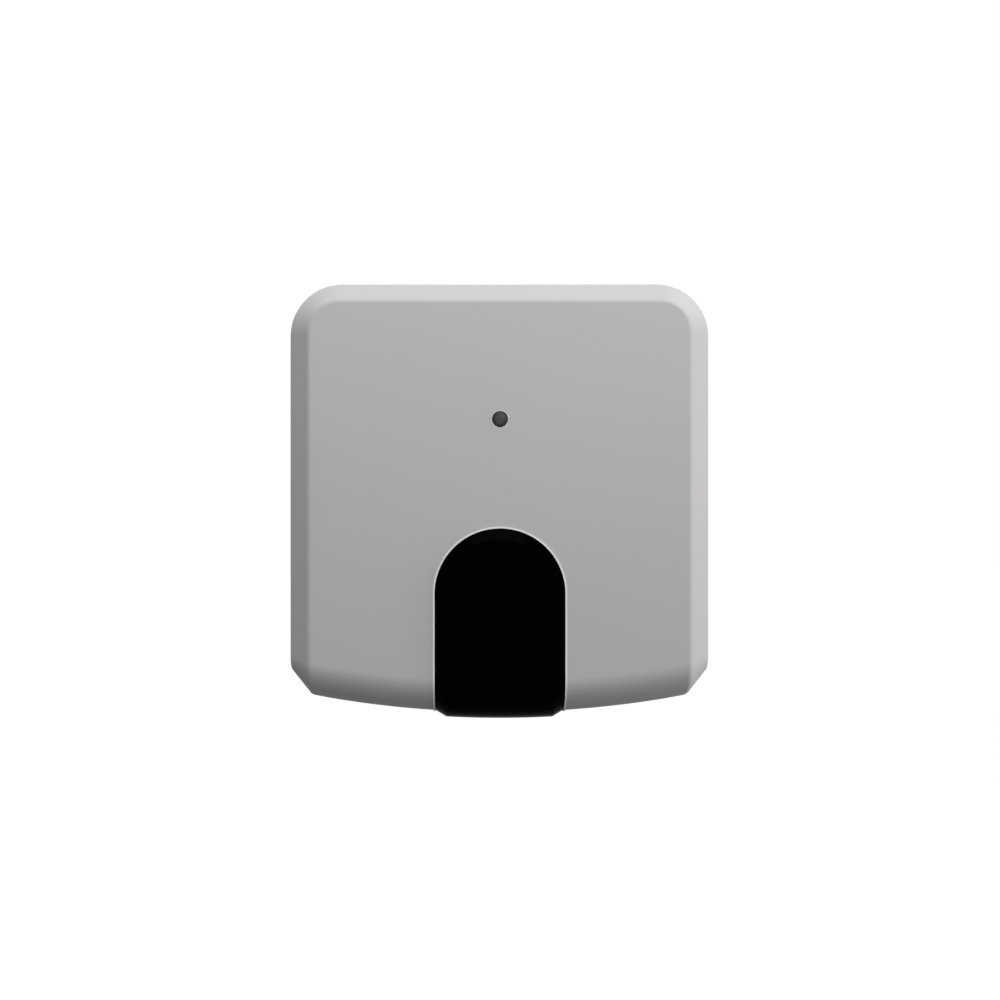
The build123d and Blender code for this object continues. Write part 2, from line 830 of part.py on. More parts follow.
with BuildPart() as one_contact:
    with BuildSketch(Plane.YZ):
        with BuildLine():
            Polyline(
                (-contact_depth, socket_mouth + 2 * plate_setback),
                (contact_metal - contact_depth, socket_mouth + 2 * plate_setback),
                (contact_metal - contact_depth, socket_back + 2 * contact_metal),
                (contact_metal - board_back, socket_back + 2 * contact_metal),
                (contact_metal - board_back, socket_back + contact_tail),
                (-board_back, socket_back + contact_tail),
                (-board_back, socket_back + contact_metal),
                (-contact_depth, socket_back + contact_metal),
                close=True,
            )
        make_face()
    extrude(amount=contact_width / 2, both=True)

with BuildPart() as usb_contacts:
    with Locations(*[(x, 0, 0) for x in contact_xs]):
        add(one_contact.part)
usb_contacts.part.label = "usb_contacts"
export_step(usb_contacts.part, "parts/usb_contacts.step")

# Emitter holder: a bar that aims the emitters out of the bend, on two arms that foot on the board
holder_near = emitter_setback + emitter_flange - holder_rim
holder_rear_plane = bend_plane.offset(holder_near)
arm_out = holder_width / 2
arm_top = holder_rear_plane.from_local_coords((0, holder_height / 2, holder_rim))
arm_low = holder_rear_plane.from_local_coords((0, 0, holder_rim))
foot_middle = (holder_foot_low + holder_foot_high) / 2
foot_x = arm_out - holder_arm + holder_foot_width / 2
with BuildPart() as emitter_holder:
    with BuildSketch(holder_rear_plane):
        Rectangle(holder_width, holder_height)
    extrude(amount=holder_thickness)
    chamfer(emitter_holder.edges().filter_by(Axis.X), holder_bevel)
    for aimed in emitter_planes:
        with BuildSketch(aimed):
            Circle(emitter_radius + holder_gap)
        extrude(amount=emitter_length, mode=Mode.SUBTRACT)
        with BuildSketch(aimed.offset(emitter_flange)):
            Circle(emitter_flange_radius + holder_gap)
        extrude(amount=-emitter_length, mode=Mode.SUBTRACT)
    for arm_start in (-arm_out, arm_out - holder_arm):
        with BuildSketch(Plane.YZ.offset(arm_start)):
            with BuildLine():
                Polyline(
                    (-board_front, holder_foot_high),
                    (arm_top.Y, arm_top.Z),
                    (arm_low.Y, arm_low.Z),
                    (-board_front, foot_middle),
                    close=True,
                )
            make_face()
        extrude(amount=holder_arm)
    with BuildSketch(at_depth(board_front)):
        with Locations((-foot_x, foot_middle), (foot_x, foot_middle)):
            Rectangle(holder_foot_width, holder_foot_high - holder_foot_low)
    extrude(amount=holder_foot_thickness)
    with BuildSketch(at_depth(board_front)):
        with Locations(*holder_peg_places):
            Circle(holder_peg_radius)
    extrude(amount=-board_thickness - lead_end)
emitter_holder.part.label = "emitter_holder"
export_step(emitter_holder.part, "parts/emitter_holder.step")

with BuildPart() as one_emitter:
    with BuildSketch(Plane.XZ):
        with BuildLine():
            Polyline(
                (0, 0),
                (emitter_flange_radius, 0),
                (emitter_flange_radius, emitter_flange),
                (emitter_radius, emitter_flange),
                (emitter_radius, emitter_length - emitter_radius),
            )
            RadiusArc((emitter_radius, emitter_length - emitter_radius), (0, emitter_length), -emitter_radius)
            Line((0, emitter_length), (0, 0))
        make_face()
    revolve(axis=Axis.Z)
with BuildPart() as ir_emitters:
    with Locations(*emitter_planes):
        add(one_emitter.part)
ir_emitters.part.label = "ir_emitters"
export_step(ir_emitters.part, "parts/ir_emitters.step")

with BuildPart() as emitter_leads:
    for points in emitter_lead_paths:
        add(bent_lead(points))
emitter_leads.part.label = "emitter_leads"
export_step(emitter_leads.part, "parts/emitter_leads.step")

# Infrared receiver: a flat body with a bulging lens, and three leads into the board
with BuildPart() as ir_receiver:
    with BuildSketch(on_board_front((0, receiver_height))):
        Rectangle(receiver_width, receiver_length)
    extrude(amount=receiver_body)
    chamfer(ir_receiver.edges().filter_by(Axis.Y), receiver_corner)
    with Locations((0, -board_front - receiver_body, receiver_height)):
        Cylinder(receiver_lens_radius, receiver_lens_width)
ir_receiver.part.label = "ir_receiver"
export_step(ir_receiver.part, "parts/ir_receiver.step")

receiver_low = receiver_height - receiver_length / 2
lead_depth = board_front + receiver_lead_lift
with BuildPart() as receiver_leads:
    for x, z in receiver_lead_places:
        add(bent_lead([(x, -lead_depth, receiver_low), (x, -lead_depth, z), (x, lead_end - board_back, z)]))
receiver_leads.part.label = "receiver_leads"
export_step(receiver_leads.part, "parts/receiver_leads.step")

# Status light beside the button
with BuildPart() as status_led:
    with BuildSketch(on_board_front(status_place)):
        Rectangle(*status_size)
    extrude(amount=status_base)
    with BuildSketch(on_board_front(status_place, status_base)):
        Rectangle(*status_lens)
    extrude(amount=status_lens_rise, taper=status_taper)
status_led.part.label = "status_led"
export_step(status_led.part, "parts/status_led.step")

# Push switch: base with a well, snap dome, plunger, metal cover and pins
switch_spot = (0, button_height)
with BuildPart() as switch_base:
    with BuildSketch(on_board_front(switch_spot)):
        Rectangle(switch_width, switch_width)
    extrude(amount=switch_body)
    with BuildSketch(on_board_front(switch_spot, switch_floor)):
        Circle(switch_well_radius)
    extrude(amount=switch_body, mode=Mode.SUBTRACT)
switch_base.part.label = "switch_base"
export_step(switch_base.part, "parts/switch_base.step")

with BuildPart() as one_dome:
    with BuildSketch(Plane.XZ):
        with BuildLine():
            Polyline(
                (0, dome_height),
                (dome_top_radius, dome_height),
                (dome_radius, 0),
                (dome_radius - 2 * dome_metal, 0),
                (dome_top_radius - dome_metal, dome_height - dome_metal),
                (0, dome_height - dome_metal),
                close=True,
            )
        make_face()
    revolve(axis=Axis.Z)
with BuildPart() as switch_dome:
    with Locations(on_board_front(switch_spot, switch_floor)):
        add(one_dome.part)
switch_dome.part.label = "switch_dome"
export_step(switch_dome.part, "parts/switch_dome.step")

plunger_low = switch_floor + dome_height + button_stem_gap
plunger_flange_top = switch_body - switch_gap
with BuildPart() as switch_plunger:
    with BuildSketch(on_board_front(switch_spot, plunger_low)):
        Circle(plunger_nib_radius)
    extrude(amount=plunger_lift - plunger_low)
    with BuildSketch(on_board_front(switch_spot, plunger_flange_top - plunger_flange)):
        Circle(switch_well_radius - switch_gap)
    extrude(amount=plunger_flange)
    with BuildSketch(on_board_front(switch_spot, plunger_flange_top)):
        Circle(plunger_radius)
    extrude(amount=plunger_lift - plunger_flange_top)
    chamfer(switch_plunger.faces().sort_by(Axis.Y)[0].edges(), switch_gap)
switch_plunger.part.label = "switch_plunger"
export_step(switch_plunger.part, "parts/switch_plunger.step")

with BuildPart() as switch_cover:
    with BuildSketch(on_board_front(switch_spot, switch_body)):
        Rectangle(switch_width, switch_width)
        Rectangle(switch_cover_tab, switch_width + 2 * switch_cover_metal)
        Circle(plunger_radius + switch_gap, mode=Mode.SUBTRACT)
    extrude(amount=switch_cover_metal)
    tab_middle = (switch_width + switch_cover_metal) / 2
    with BuildSketch(on_board_front(switch_spot, switch_body)):
        with Locations((0, -tab_middle), (0, tab_middle)):
            Rectangle(switch_cover_tab, switch_cover_metal)
    extrude(amount=-switch_cover_skirt)
switch_cover.part.label = "switch_cover"
export_step(switch_cover.part, "parts/switch_cover.step")

with BuildPart() as switch_pins:
    with BuildSketch(at_depth(board_back - lead_end)):
        with Locations(*switch_pin_places):
            Rectangle(*switch_pin)
    extrude(amount=lead_end + board_thickness + switch_pin_rise)
switch_pins.part.label = "switch_pins"
export_step(switch_pins.part, "parts/switch_pins.step")

# Button: head in the front face, flange behind the wall, stem down to the switch
flange_depth = cover_inside - button_flange_gap - button_flange
with BuildPart() as button_cap:
    with BuildSketch(at_depth(board_front + plunger_lift + button_stem_gap)):
        with Locations(switch_spot):
            Circle(button_radius)
    extrude(amount=case_depth + button_proud - board_front - plunger_lift - button_stem_gap)
    chamfer(button_cap.faces().sort_by(Axis.Y)[0].edges(), button_bevel)
    with BuildSketch(at_depth(flange_depth)):
        with Locations(switch_spot):
            Circle(button_flange_radius)
    extrude(amount=button_flange)
button_cap.part.label = "button_cap"
export_step(button_cap.part, "parts/button_cap.step")

# Electrolytic capacitors: cans with a crimped groove, each on a square base with two cut corners
with BuildPart() as one_can:
    with BuildSketch(Plane.XZ):
        with BuildLine():
            Polyline(
                (0, 0),
                (can_radius, 0),
                (can_radius, can_groove_height - can_groove),
                (can_radius - can_groove, can_groove_height),
                (can_radius, can_groove_height + can_groove),
                (can_radius, can_rise),
                (0, can_rise),
                close=True,
            )
        make_face()
    revolve(axis=Axis.Z)
    chamfer(one_can.faces().sort_by(Axis.Z)[-1].edges(), can_bevel)
with BuildPart() as capacitor_cans:
    with Locations(*[on_board_rear(place, can_base_rise) for place in can_places]):
        add(one_can.part)
capacitor_cans.part.label = "capacitor_cans"
export_step(capacitor_cans.part, "parts/capacitor_cans.step")

with BuildPart() as one_can_base:
    with BuildSketch() as base_outline:
        Rectangle(can_base_size, can_base_size)
        chamfer(base_outline.vertices().group_by(Axis.X)[-1], can_base_corner)
    extrude(amount=can_base_rise)
with BuildPart() as capacitor_bases:
    with Locations(*[on_board_rear(place) for place in can_places]):
        add(one_can_base.part)
capacitor_bases.part.label = "capacitor_bases"
export_step(capacitor_bases.part, "parts/capacitor_bases.step")

# Power parts: inductor, regulator with its tab, input diode and resettable fuse
with BuildPart() as power_inductor:
    with BuildSketch(on_board_rear(inductor_place)) as inductor_outline:
        Rectangle(inductor_size, inductor_size)
        fillet(inductor_outline.vertices(), inductor_corner)
    extrude(amount=inductor_rise)
    with BuildSketch(on_board_rear(inductor_place, inductor_rise - inductor_dish)):
        Circle(inductor_dish_radius)
    extrude(amount=inductor_dish, mode=Mode.SUBTRACT)
power_inductor.part.label = "power_inductor"
export_step(power_inductor.part, "parts/power_inductor.step")

regulator_side = regulator_size[1] / 2
regulator_spot = Location(on_board_rear(regulator_place))
leg_spots = [
    regulator_spot * Location((number * regulator_leg_pitch, regulator_side, 0), (0, 0, 90))
    for number in (-1, 0, 1)
]
with BuildPart() as regulator:
    with BuildSketch(on_board_rear(regulator_place)):
        Rectangle(*regulator_size)
    extrude(amount=regulator_rise)
    chamfer(regulator.faces().sort_by(Axis.Y)[-1].edges(), leg_metal)
    with Locations(*leg_spots):
        add(gull_leg(regulator_leg_width, regulator_rise / 2, regulator_reach, leg_metal))
    with Locations(regulator_spot * Location((0, -regulator_side, 0), (0, 0, -90))):
        add(gull_leg(regulator_tab_width, regulator_rise / 2, regulator_reach, leg_metal))
regulator.part.label = "regulator"
export_step(regulator.part, "parts/regulator.step")

with BuildPart() as input_diode:
    with BuildSketch(on_board_rear(diode_place)):
        Rectangle(*diode_size)
    extrude(amount=diode_rise)
    chamfer(input_diode.faces().sort_by(Axis.Y)[-1].edges(), leg_metal)
    with BuildSketch(on_board_rear(diode_place)):
        with GridLocations(diode_size[0] + diode_lead[0], 0, 2, 1):
            Rectangle(*diode_lead)
    extrude(amount=diode_rise / 2)
input_diode.part.label = "input_diode"
export_step(input_diode.part, "parts/input_diode.step")

with BuildPart() as resettable_fuse:
    with BuildSketch(on_board_rear(fuse_place)):
        Rectangle(*fuse_size)
        with GridLocations(0, fuse_size[1], 1, 2):
            Circle(fuse_notch_radius, mode=Mode.SUBTRACT)
    extrude(amount=fuse_rise)
resettable_fuse.part.label = "resettable_fuse"
export_step(resettable_fuse.part, "parts/resettable_fuse.step")

# Crystal: an oval can on a thin rim
with BuildPart() as crystal_can:
    with BuildSketch(on_board_rear(crystal_place)):
        SlotOverall(*crystal_size)
    extrude(amount=crystal_rim)
    with BuildSketch(on_board_rear(crystal_place, crystal_rim)):
        SlotOverall(crystal_size[0] - crystal_rim * 2, crystal_size[1] - crystal_rim * 2)
    extrude(amount=crystal_rise - crystal_rim)
    chamfer(crystal_can.faces().sort_by(Axis.Y)[-1].edges(), crystal_rim)
crystal_can.part.label = "crystal_can"
export_step(crystal_can.part, "parts/crystal_can.step")

# Transistors that drive the emitters, one leg on one side and two on the other
with BuildPart() as one_driver:
    with BuildSketch(Plane.XY.offset(chip_stand)):
        Rectangle(*driver_size)
    extrude(amount=driver_rise - chip_stand)
    chamfer(one_driver.faces().sort_by(Axis.Z)[-1].edges(), leg_metal)
    driver_leg = gull_leg(driver_leg_width, driver_rise / 2, driver_leg_reach, leg_metal)
    with Locations(Location((0, driver_size[1] / 2, 0), (0, 0, 90))):
        add(driver_leg)
    for leg_x in (-driver_leg_pitch / 2, driver_leg_pitch / 2):
        with Locations(Location((leg_x, -driver_size[1] / 2, 0), (0, 0, -90))):
            add(driver_leg)
driver_places = row_places([(0, driver_height)], [driver_count], driver_spacing)
with BuildPart() as driver_transistors:
    with Locations(*[on_board_rear(place) for place in driver_places]):
        add(one_driver.part)
driver_transistors.part.label = "driver_transistors"
export_step(driver_transistors.part, "parts/driver_transistors.step")

# Chip resistors and chip capacitors in rows
with BuildPart() as chip_resistors:
    with BuildSketch(at_depth(board_back)):
        with Locations(*row_places(resistor_middles, resistor_row_counts, resistor_pitch)):
            Rectangle(*resistor_size)
    extrude(amount=-resistor_rise)
chip_resistors.part.label = "chip_resistors"
export_step(chip_resistors.part, "parts/chip_resistors.step")

with BuildPart() as chip_capacitors:
    with BuildSketch(at_depth(board_back)):
        with Locations(*row_places(capacitor_middles, capacitor_row_counts, capacitor_pitch)):
            Rectangle(*capacitor_size)
    extrude(amount=-capacitor_rise)
chip_capacitors.part.label = "chip_capacitors"
export_step(chip_capacitors.part, "parts/chip_capacitors.step")

# Programming header: a notched base and square pins through the board
with BuildPart() as header_base:
    with BuildSketch(at_depth(board_back)):
        with Locations(header_place):
            Rectangle(header_pitch, header_pin_count * header_pitch)
            with GridLocations(header_pitch, header_pitch, 2, header_pin_count - 1):
                Rectangle(header_notch, header_notch, rotation=45, mode=Mode.SUBTRACT)
        with Locations(*header_pin_places):
            Rectangle(header_pin, header_pin, mode=Mode.SUBTRACT)
    extrude(amount=-header_base_rise)
header_base.part.label = "header_base"
export_step(header_base.part, "parts/header_base.step")

with BuildPart() as header_pins:
    with BuildSketch(at_depth(board_front + lead_end)):
        with Locations(*header_pin_places):
            Rectangle(header_pin, header_pin)
    extrude(amount=-lead_end - board_thickness - header_base_rise - header_pin_rise)
header_pins.part.label = "header_pins"
export_step(header_pins.part, "parts/header_pins.step")
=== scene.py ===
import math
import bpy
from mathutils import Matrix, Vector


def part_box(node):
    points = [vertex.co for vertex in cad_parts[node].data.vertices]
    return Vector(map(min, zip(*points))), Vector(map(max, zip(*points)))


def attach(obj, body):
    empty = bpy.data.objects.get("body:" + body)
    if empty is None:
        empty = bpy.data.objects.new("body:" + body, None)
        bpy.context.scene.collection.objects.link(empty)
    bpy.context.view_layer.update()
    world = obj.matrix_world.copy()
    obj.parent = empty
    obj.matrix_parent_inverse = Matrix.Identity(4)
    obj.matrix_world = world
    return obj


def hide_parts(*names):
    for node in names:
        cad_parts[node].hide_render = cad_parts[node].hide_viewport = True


bl_info = {
    "name": "Wall Controller",
    "version": (1, 0, 0),
    "blender": (4, 5, 0),
    "location": "View3D > Sidebar > Controller",
    "description": "Models the case, window and button of a small wall controller and finishes its parts",
    "category": "Object",
}

import bmesh
import bpy
from bpy.props import FloatProperty, FloatVectorProperty, PointerProperty
from mathutils import Vector

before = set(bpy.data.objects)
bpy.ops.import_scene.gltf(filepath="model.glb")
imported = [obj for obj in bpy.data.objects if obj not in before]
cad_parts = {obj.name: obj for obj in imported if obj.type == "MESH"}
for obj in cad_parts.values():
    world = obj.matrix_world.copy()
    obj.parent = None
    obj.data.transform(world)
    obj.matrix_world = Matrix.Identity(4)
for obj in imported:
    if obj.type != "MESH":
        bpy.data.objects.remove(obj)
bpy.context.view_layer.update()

# The origin is the middle of the rear face, on the wall
# The front looks along -Y
# A depth is a distance from the wall toward the front, so it is the negative of Y
MM = 0.001
QUARTER = math.radians(90)

# Places nearer than this count as one
NEAR = 0.00002

# Segments of the round forms
BELLY_SIDES = 720
CORNER_SEGMENTS = 16
BEND_SEGMENTS = 18
OUTER_SEGMENTS = 6
INNER_SEGMENTS = 4
ARCH_SIDES = 144
HOLE_SIDES = 64
POST_SIDES = 40
CUTTER_SEGMENTS = 8
EDGE_SEGMENTS = 3
BUTTON_SEGMENTS = 5
FLANGE_SEGMENTS = 2

# Angle between two faces above which their edge is a corner, in radians like the next two
CORNER_ANGLE = 1.0
# Angle above which it borders the broad bevel
BORDER_ANGLE = 0.55
# Angles between which it is a ridge on the face of the window
RIDGE_ANGLES = (0.3, 1.3)
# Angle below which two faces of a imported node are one
FLAT_ANGLE = math.radians(0.5)

# Share of a face's normal along an axis above which the face looks that way
ALONG = 0.9
# Shares below which a face beside the bevel looks neither to the front nor down
FRONT_TILT = 0.05
DOWN_TILT = 0.15
# Shares above which a face belongs to the skin of the window: toward the front, or down
SKIN_FRONT = 0.02
SKIN_DOWN = 0.3
# Share of its length that an edge may run aside and still count as running back
STRAY = 0.3


def linear(code):
    """Linear colour, with full alpha, of a six-digit colour code."""
    parts = [int(code[start : start + 2], 16) / 255 for start in (0, 2, 4)]
    return tuple(p / 12.92 if p <= 0.04045 else ((p + 0.055) / 1.055) ** 2.4 for p in parts) + (1.0,)


def length(name, description, millimetres):
    """Length property with its default in millimetres."""
    return FloatProperty(
        name=name, description=description, default=millimetres * MM, unit="LENGTH", precision=5
    )


def amount(name, description, default, low=0.0, high=1.0):
    """Plain number property."""
    return FloatProperty(name=name, description=description, default=default, min=low, max=high)


def shade(name, description, code):
    """Colour property with its default as a six-digit code."""
    return FloatVectorProperty(
        name=name,
        description=description,
        default=linear(code),
        size=4,
        subtype="COLOR",
        min=0.0,
        max=1.0,
    )


front_low, front_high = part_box("front_cover")
shell_low, shell_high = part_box("usb_shell")
button_low, button_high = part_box("button_cap")


class CaseSizes(bpy.types.PropertyGroup):
    """Sizes of the moulded case"""

    width: length("Width", "Width of the case", (front_high.x - front_low.x) / MM)
    height: length("Height", "Height of the case on its centre line", 2 * front_high.z / MM)
    depth: length("Depth", "Depth from the wall to the front face", 27.0)
    corner: length("Corner Radius", "Radius of the two upper corners", 9.7)
    belly: length("Belly Radius", "Radius of the bottom edge, which bows down", 190.0)
    bend: length("Bend Radius", "Radius of the bend to the underside", 6.5)
    bevel: length("Bevel", "Width of the broad bevel on each face", 4.0)
    outer_round: length("Outer Round", "Radius of the bevel's outer edge", 0.8)
    inner_round: length("Inner Round", "Radius of the bevel's inner edge", 1.2)
    wall: length("Wall", "Thickness of the moulded wall", 2.0)
    parting: length("Parting", "Depth at which the two covers meet", 4.0)
    boss_radius: length("Boss Radius", "Radius of the bosses for the case screws", 3.2)
    boss_start: length("Boss Start", "Depth at which the bosses begin", 6.8)
    boss_hole: length("Boss Hole", "Radius of the hole in each boss", 1.35)
    post_radius: length("Post Radius", "Radius of the posts that carry the board", 2.5)
    post_hole: length("Post Hole", "Radius of the hole in each post", 1.1)
    boss_bore: length("Boss Bore", "Depth of the hole in each boss", 12.0)
    post_bore: length("Post Bore", "Depth of the hole in each post", 5.5)
    case_head: length("Case Screw Head", "Radius of a case screw's head", 2.7)
    board_head: length("Board Screw Head", "Radius of a board screw's head", 2.0)
    plug_width: length("Plug Width", "Width of the opening for the plug", 11.5)
    plug_depth: length("Plug Depth", "Size of the plug's opening from rear to front", 8.5)
    plug_reach: length("Plug Reach", "How far down from the socket the opening is cut", 8.0)
    plug_corner: length("Plug Corner", "Radius of the opening's corners", 2.0)


class WindowSizes(bpy.types.PropertyGroup):
    """Sizes of the window and of the lip round it"""

    radius: length("Radius", "Radius of the arch", 11.85)
    centre: length("Centre Height", "Height of the middle of the arch", -17.6)
    back: length("Back", "Depth at which the window ends on the underside", 9.5)
    proud: length("Proud", "How far the window stands out of the case", 1.1)
    skin: length("Skin", "Thickness of the window", 2.0)
    edge_width: length("Edge Width", "Width of the sloped edge round the face", 1.95)
    edge_drop: length("Edge Drop", "Drop of the sloped edge", 1.05)
    edge_round: length("Edge Round", "Rounding of the window's edges", 0.16)
    corner: length("Corner", "Radius of the rear corners on the underside", 2.5)
    skirt: length("Skirt", "Thickness of the skirt inside the opening", 1.6)
    flange: length("Flange", "Width of the flange behind the wall", 1.5)
    flange_thickness: length("Flange Thickness", "Thickness of the flange", 1.2)
    seat: length("Seat", "Gap between the flange and the wall", 0.05)
    gap: length("Gap", "Gap between the window and the opening", 0.1)
    lip_width: length("Lip Width", "Width of the raised lip round the opening", 0.35)
    lip_rise: length("Lip Rise", "Rise of the lip above the case", 0.2)
    # The pale band on the lip is a painted highlight
    lip_painted_highlight: length("Pale Lip", "Width of the pale band on the lip", 0.33)


class ButtonSizes(bpy.types.PropertyGroup):
    """Sizes of the button and its hole"""

    height: length("Height", "Height of the button above the middle of the case", 14.3)
    radius: length("Radius", "Radius of the button's head", 1.35)
    gap: length("Gap", "Gap between the button and its hole", 0.08)
    edge: length("Edge", "Rounding of the button's rim", 0.3)
    crown: length("Crown", "Rise of the slight dome of the button's face", 0.06)
    hole_edge: length("Hole Edge", "Rounding of the hole's rim", 0.1)
    # The faint pale ring round the hole is a painted highlight
    ring: length("Ring", "Width of the faint pale ring round the hole", 0.3)
    flange_radius: length("Flange Radius", "Radius of the flange behind the wall", 4.5)
    flange: length("Flange", "Thickness of the flange", 0.8)
    flange_gap: length("Flange Gap", "Gap between the flange and the wall", 0.1)
    collar_wall: length("Collar Wall", "Wall of the collar round the flange", 1.3)
    collar_gap: length("Collar Gap", "Gap between the flange and the collar", 0.15)
    collar_length: length("Collar Length", "Length of the collar", 2.8)


class FinishColours(bpy.types.PropertyGroup):
    """Colours of the visible parts and of the parts inside"""

    case: shade("Case", "Light warm grey of the moulded case", "B2B0B1")
    # Rim is the grey of the painted highlight on the lip round the window and round the button hole, and
    # Ring is how much of it the ring round the hole gets
    rim: shade("Rim", "Paler grey of the lip and of the button hole's rim", "DEDDDD")
    ring: amount("Ring", "Share of that grey in the ring round the button hole", 0.25)
    window: shade("Window", "Black of the window", "010101")
    button: shade("Button", "Smoked dark grey of the button", "373435")
    # Button Rim is a painted shade on the button's rounded rim
    button_rim_painted_shade: shade("Button Rim", "Darker tone of the button's rounded rim", "1E1C1D")
    board: shade("Board", "Green of the main board", "0E4A2C")
    module: shade("Module", "Blue black of the wi-fi module", "16202E")
    resin: shade("Resin", "Black of moulded chips", "17171A")
    nylon: shade("Nylon", "Black of the switch, header and socket bodies", "0E0E10")
    ferrite: shade("Ferrite", "Dark grey of the inductor's core", "37373A")
    aluminium: shade("Aluminium", "Pale sleeve of the capacitor cans", "C3C6C9")
    nickel: shade("Nickel", "Warm grey of the module's shield and of the crystal", "A9A498")
    filter: shade("Filter", "Smoked brown of the infrared receiver", "1B1213")
    clear: shade("Clear Resin", "Bluish clear resin of the emitters", "B9C2D6")
    lens: shade("Lens", "Pale yellow of the status light", "E9E4C8")
    plunger: shade("Plunger", "White of the switch's plunger", "D8D6CF")
    steel: shade("Steel", "Zinc-plated steel of screws and covers", "B9BBBD")
    tin: shade("Tin", "Tinned metal of pins and leads", "C9C8C2")
    gold: shade("Gold", "Gilded contacts and trace", "D9B45A")
    ceramic: shade("Ceramic", "Brown ceramic of the chip capacitors", "8E6B4A")


class StageSettings(bpy.types.PropertyGroup):
    """Camera, lamps, floor and background"""

    distance: length("Camera Distance", "Distance of the camera from the wall", 212.4)
    aside: length("Camera Aside", "Camera's place aside of the case's middle", -5.0)
    above: length("Camera Above", "Camera's place above the case's middle", -12.0)
    lens: amount("Lens", "Focal length of the camera, in millimetres", 36.56, 1.0, 200.0)
    shift: amount("Shift", "Further shift of the picture, as a share of its width", -0.0025, -1.0)
    floor_height: length("Floor Height", "Height of the floor", -260.0)
    floor_colour: shade("Floor Colour", "Grey of the floor in the light of the lamps", "8A8988")
    floor_glow: amount("Floor Glow", "Glow that keeps the floor white where it is seen", 0.91)
    floor_lit: amount("Floor Light", "Light that the top lamp gives the floor below it", 0.065)
    top_power: amount("Top Lamp", "Power of the lamp above the front, in watts", 0.69, 0.0, 100.0)
    side_power: amount("Side Lamp", "Power of the lamp on the right, in watts", 0.65, 0.0, 100.0)
    front_power: amount("Front Lamp", "Power of the lamp before the front, in watts", 0.77, 0.0, 100.0)
    rear_power: amount("Rear Lamp", "Power of the lamp behind the case, in watts", 2.0, 0.0, 100.0)
    fill: amount("Fill", "Strength of the light from all round", 0.36, 0.0, 2.0)
    fill_colour: shade("Fill Colour", "Colour of the light from all round", "FFF9F8")


# Name, place, size and colour of each lamp
LAMPS = (
    ("top", (0.0, -0.16, 0.24), (0.26, 0.16), "FCFFFE"),
    ("side", (0.30, -0.045, 0.02), (0.16, 0.20), "FFFDFB"),
    ("front", (0.15, -0.50, 0.25), (0.30, 0.30), "FFFFFF"),
    ("rear", (-0.15, 0.40, 0.30), (0.40, 0.40), "FFFFFF"),
)
# Point that the lamps are aimed at
LAMP_AIM = Vector((0, -0.02, 0))

WHITE = (1.0, 1.0, 1.0, 1.0)
FLOOR_SIZE = 60.0
# Place on the floor that the lamps light most
POOL_PLACE = (0.0, -0.16)
# From there their light falls off as one plus the square of distance times spread, to this power
POOL_SPREAD = 2.0
POOL_POWER = -2.0


# Selecting and modelling


def clear_selection():
    """Leave edit mode and deselect everything."""
    if bpy.context.mode != "OBJECT":
        bpy.ops.object.mode_set(mode="OBJECT")
    bpy.ops.object.select_all(action="DESELECT")


def activate(piece):
    """Make one piece the only selected one."""
    clear_selection()
    piece.select_set(True)
    bpy.context.view_layer.objects.active = piece


def open_edit(piece):
    """Make one piece the only selected one and open it for editing."""
    activate(piece)
    bpy.ops.object.mode_set(mode="EDIT")


def settle(name):
    """Name the primitive just added, move its place into its mesh and open it for editing."""
    piece = bpy.context.active_object
    piece.name = piece.data.name = name
    bpy.ops.object.transform_apply(location=True, rotation=True, scale=True)
    bpy.ops.object.mode_set(mode="EDIT")
    return piece


def pick(piece, kind, test):
    """Select those vertices, edges or faces of the piece being edited that pass a test."""
    bpy.ops.mesh.select_mode(type=kind)
    bpy.ops.mesh.select_all(action="DESELECT")
    mesh = bmesh.from_edit_mesh(piece.data)
    items = {"VERT": mesh.verts, "EDGE": mesh.edges, "FACE": mesh.faces}[kind]
    for item in items:
        if test(item):
            item.select_set(True)
    mesh.select_flush_mode()
    bmesh.update_edit_mesh(piece.data)


def all_points(edge, test):
    """Whether both ends of an edge pass a test on their place."""
    return all(test(point.co) for point in edge.verts)


def select_all():
    """Select the whole of the piece being edited."""
    bpy.ops.mesh.select_all(action="SELECT")


def extrude(x, y, z):
    """Extrude the selected faces by a distance along each axis."""
    bpy.ops.mesh.extrude_region_move(TRANSFORM_OT_translate={"value": (x, y, z)})


def round_edges(offset, segments, affect="EDGES"):
    """Bevel the selected edges, or the corners between them."""
    bpy.ops.mesh.bevel(
        offset_type="OFFSET",
        offset=offset,
        segments=segments,
        profile=0.5,
        affect=affect,
        clamp_overlap=False,
    )


def close_edit():
    """Point the faces outward and leave edit mode."""
    select_all()
    bpy.ops.mesh.normals_make_consistent(inside=False)
    bpy.ops.object.mode_set(mode="OBJECT")


def combine(piece, other, operation):
    """Join, cut or intersect a piece with another solid, which is used up."""
    activate(piece)
    bpy.ops.object.modifier_add(type="BOOLEAN")
    change = piece.modifiers[-1]
    change.operation = operation
    change.object = other
    change.solver = "EXACT"
    bpy.ops.object.modifier_apply(modifier=change.name)
    bpy.data.objects.remove(other)


def soften(piece, angle=30.0):
    """Shade a finished piece smooth up to an angle, with flat faces kept flat."""
    activate(piece)
    bpy.ops.object.shade_smooth_by_angle(angle=math.radians(angle))
    bpy.ops.object.modifier_add(type="WEIGHTED_NORMAL")
    weigh = piece.modifiers[-1]
    weigh.keep_sharp = True
    weigh.weight = 100
    bpy.ops.object.modifier_apply(modifier=weigh.name)


def merged_copy(node, name):
    """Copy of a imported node, as a piece of its own, with its loose triangles joined into whole faces."""
    piece = bpy.data.objects.new(name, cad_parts[node].data.copy())
    piece.data.name = name
    bpy.context.scene.collection.objects.link(piece)
    open_edit(piece)
    select_all()
    bpy.ops.mesh.remove_doubles(threshold=NEAR / 10)
    bpy.ops.mesh.dissolve_limited(angle_limit=FLAT_ANGLE, delimit=set())
    bpy.ops.object.mode_set(mode="OBJECT")
    return piece


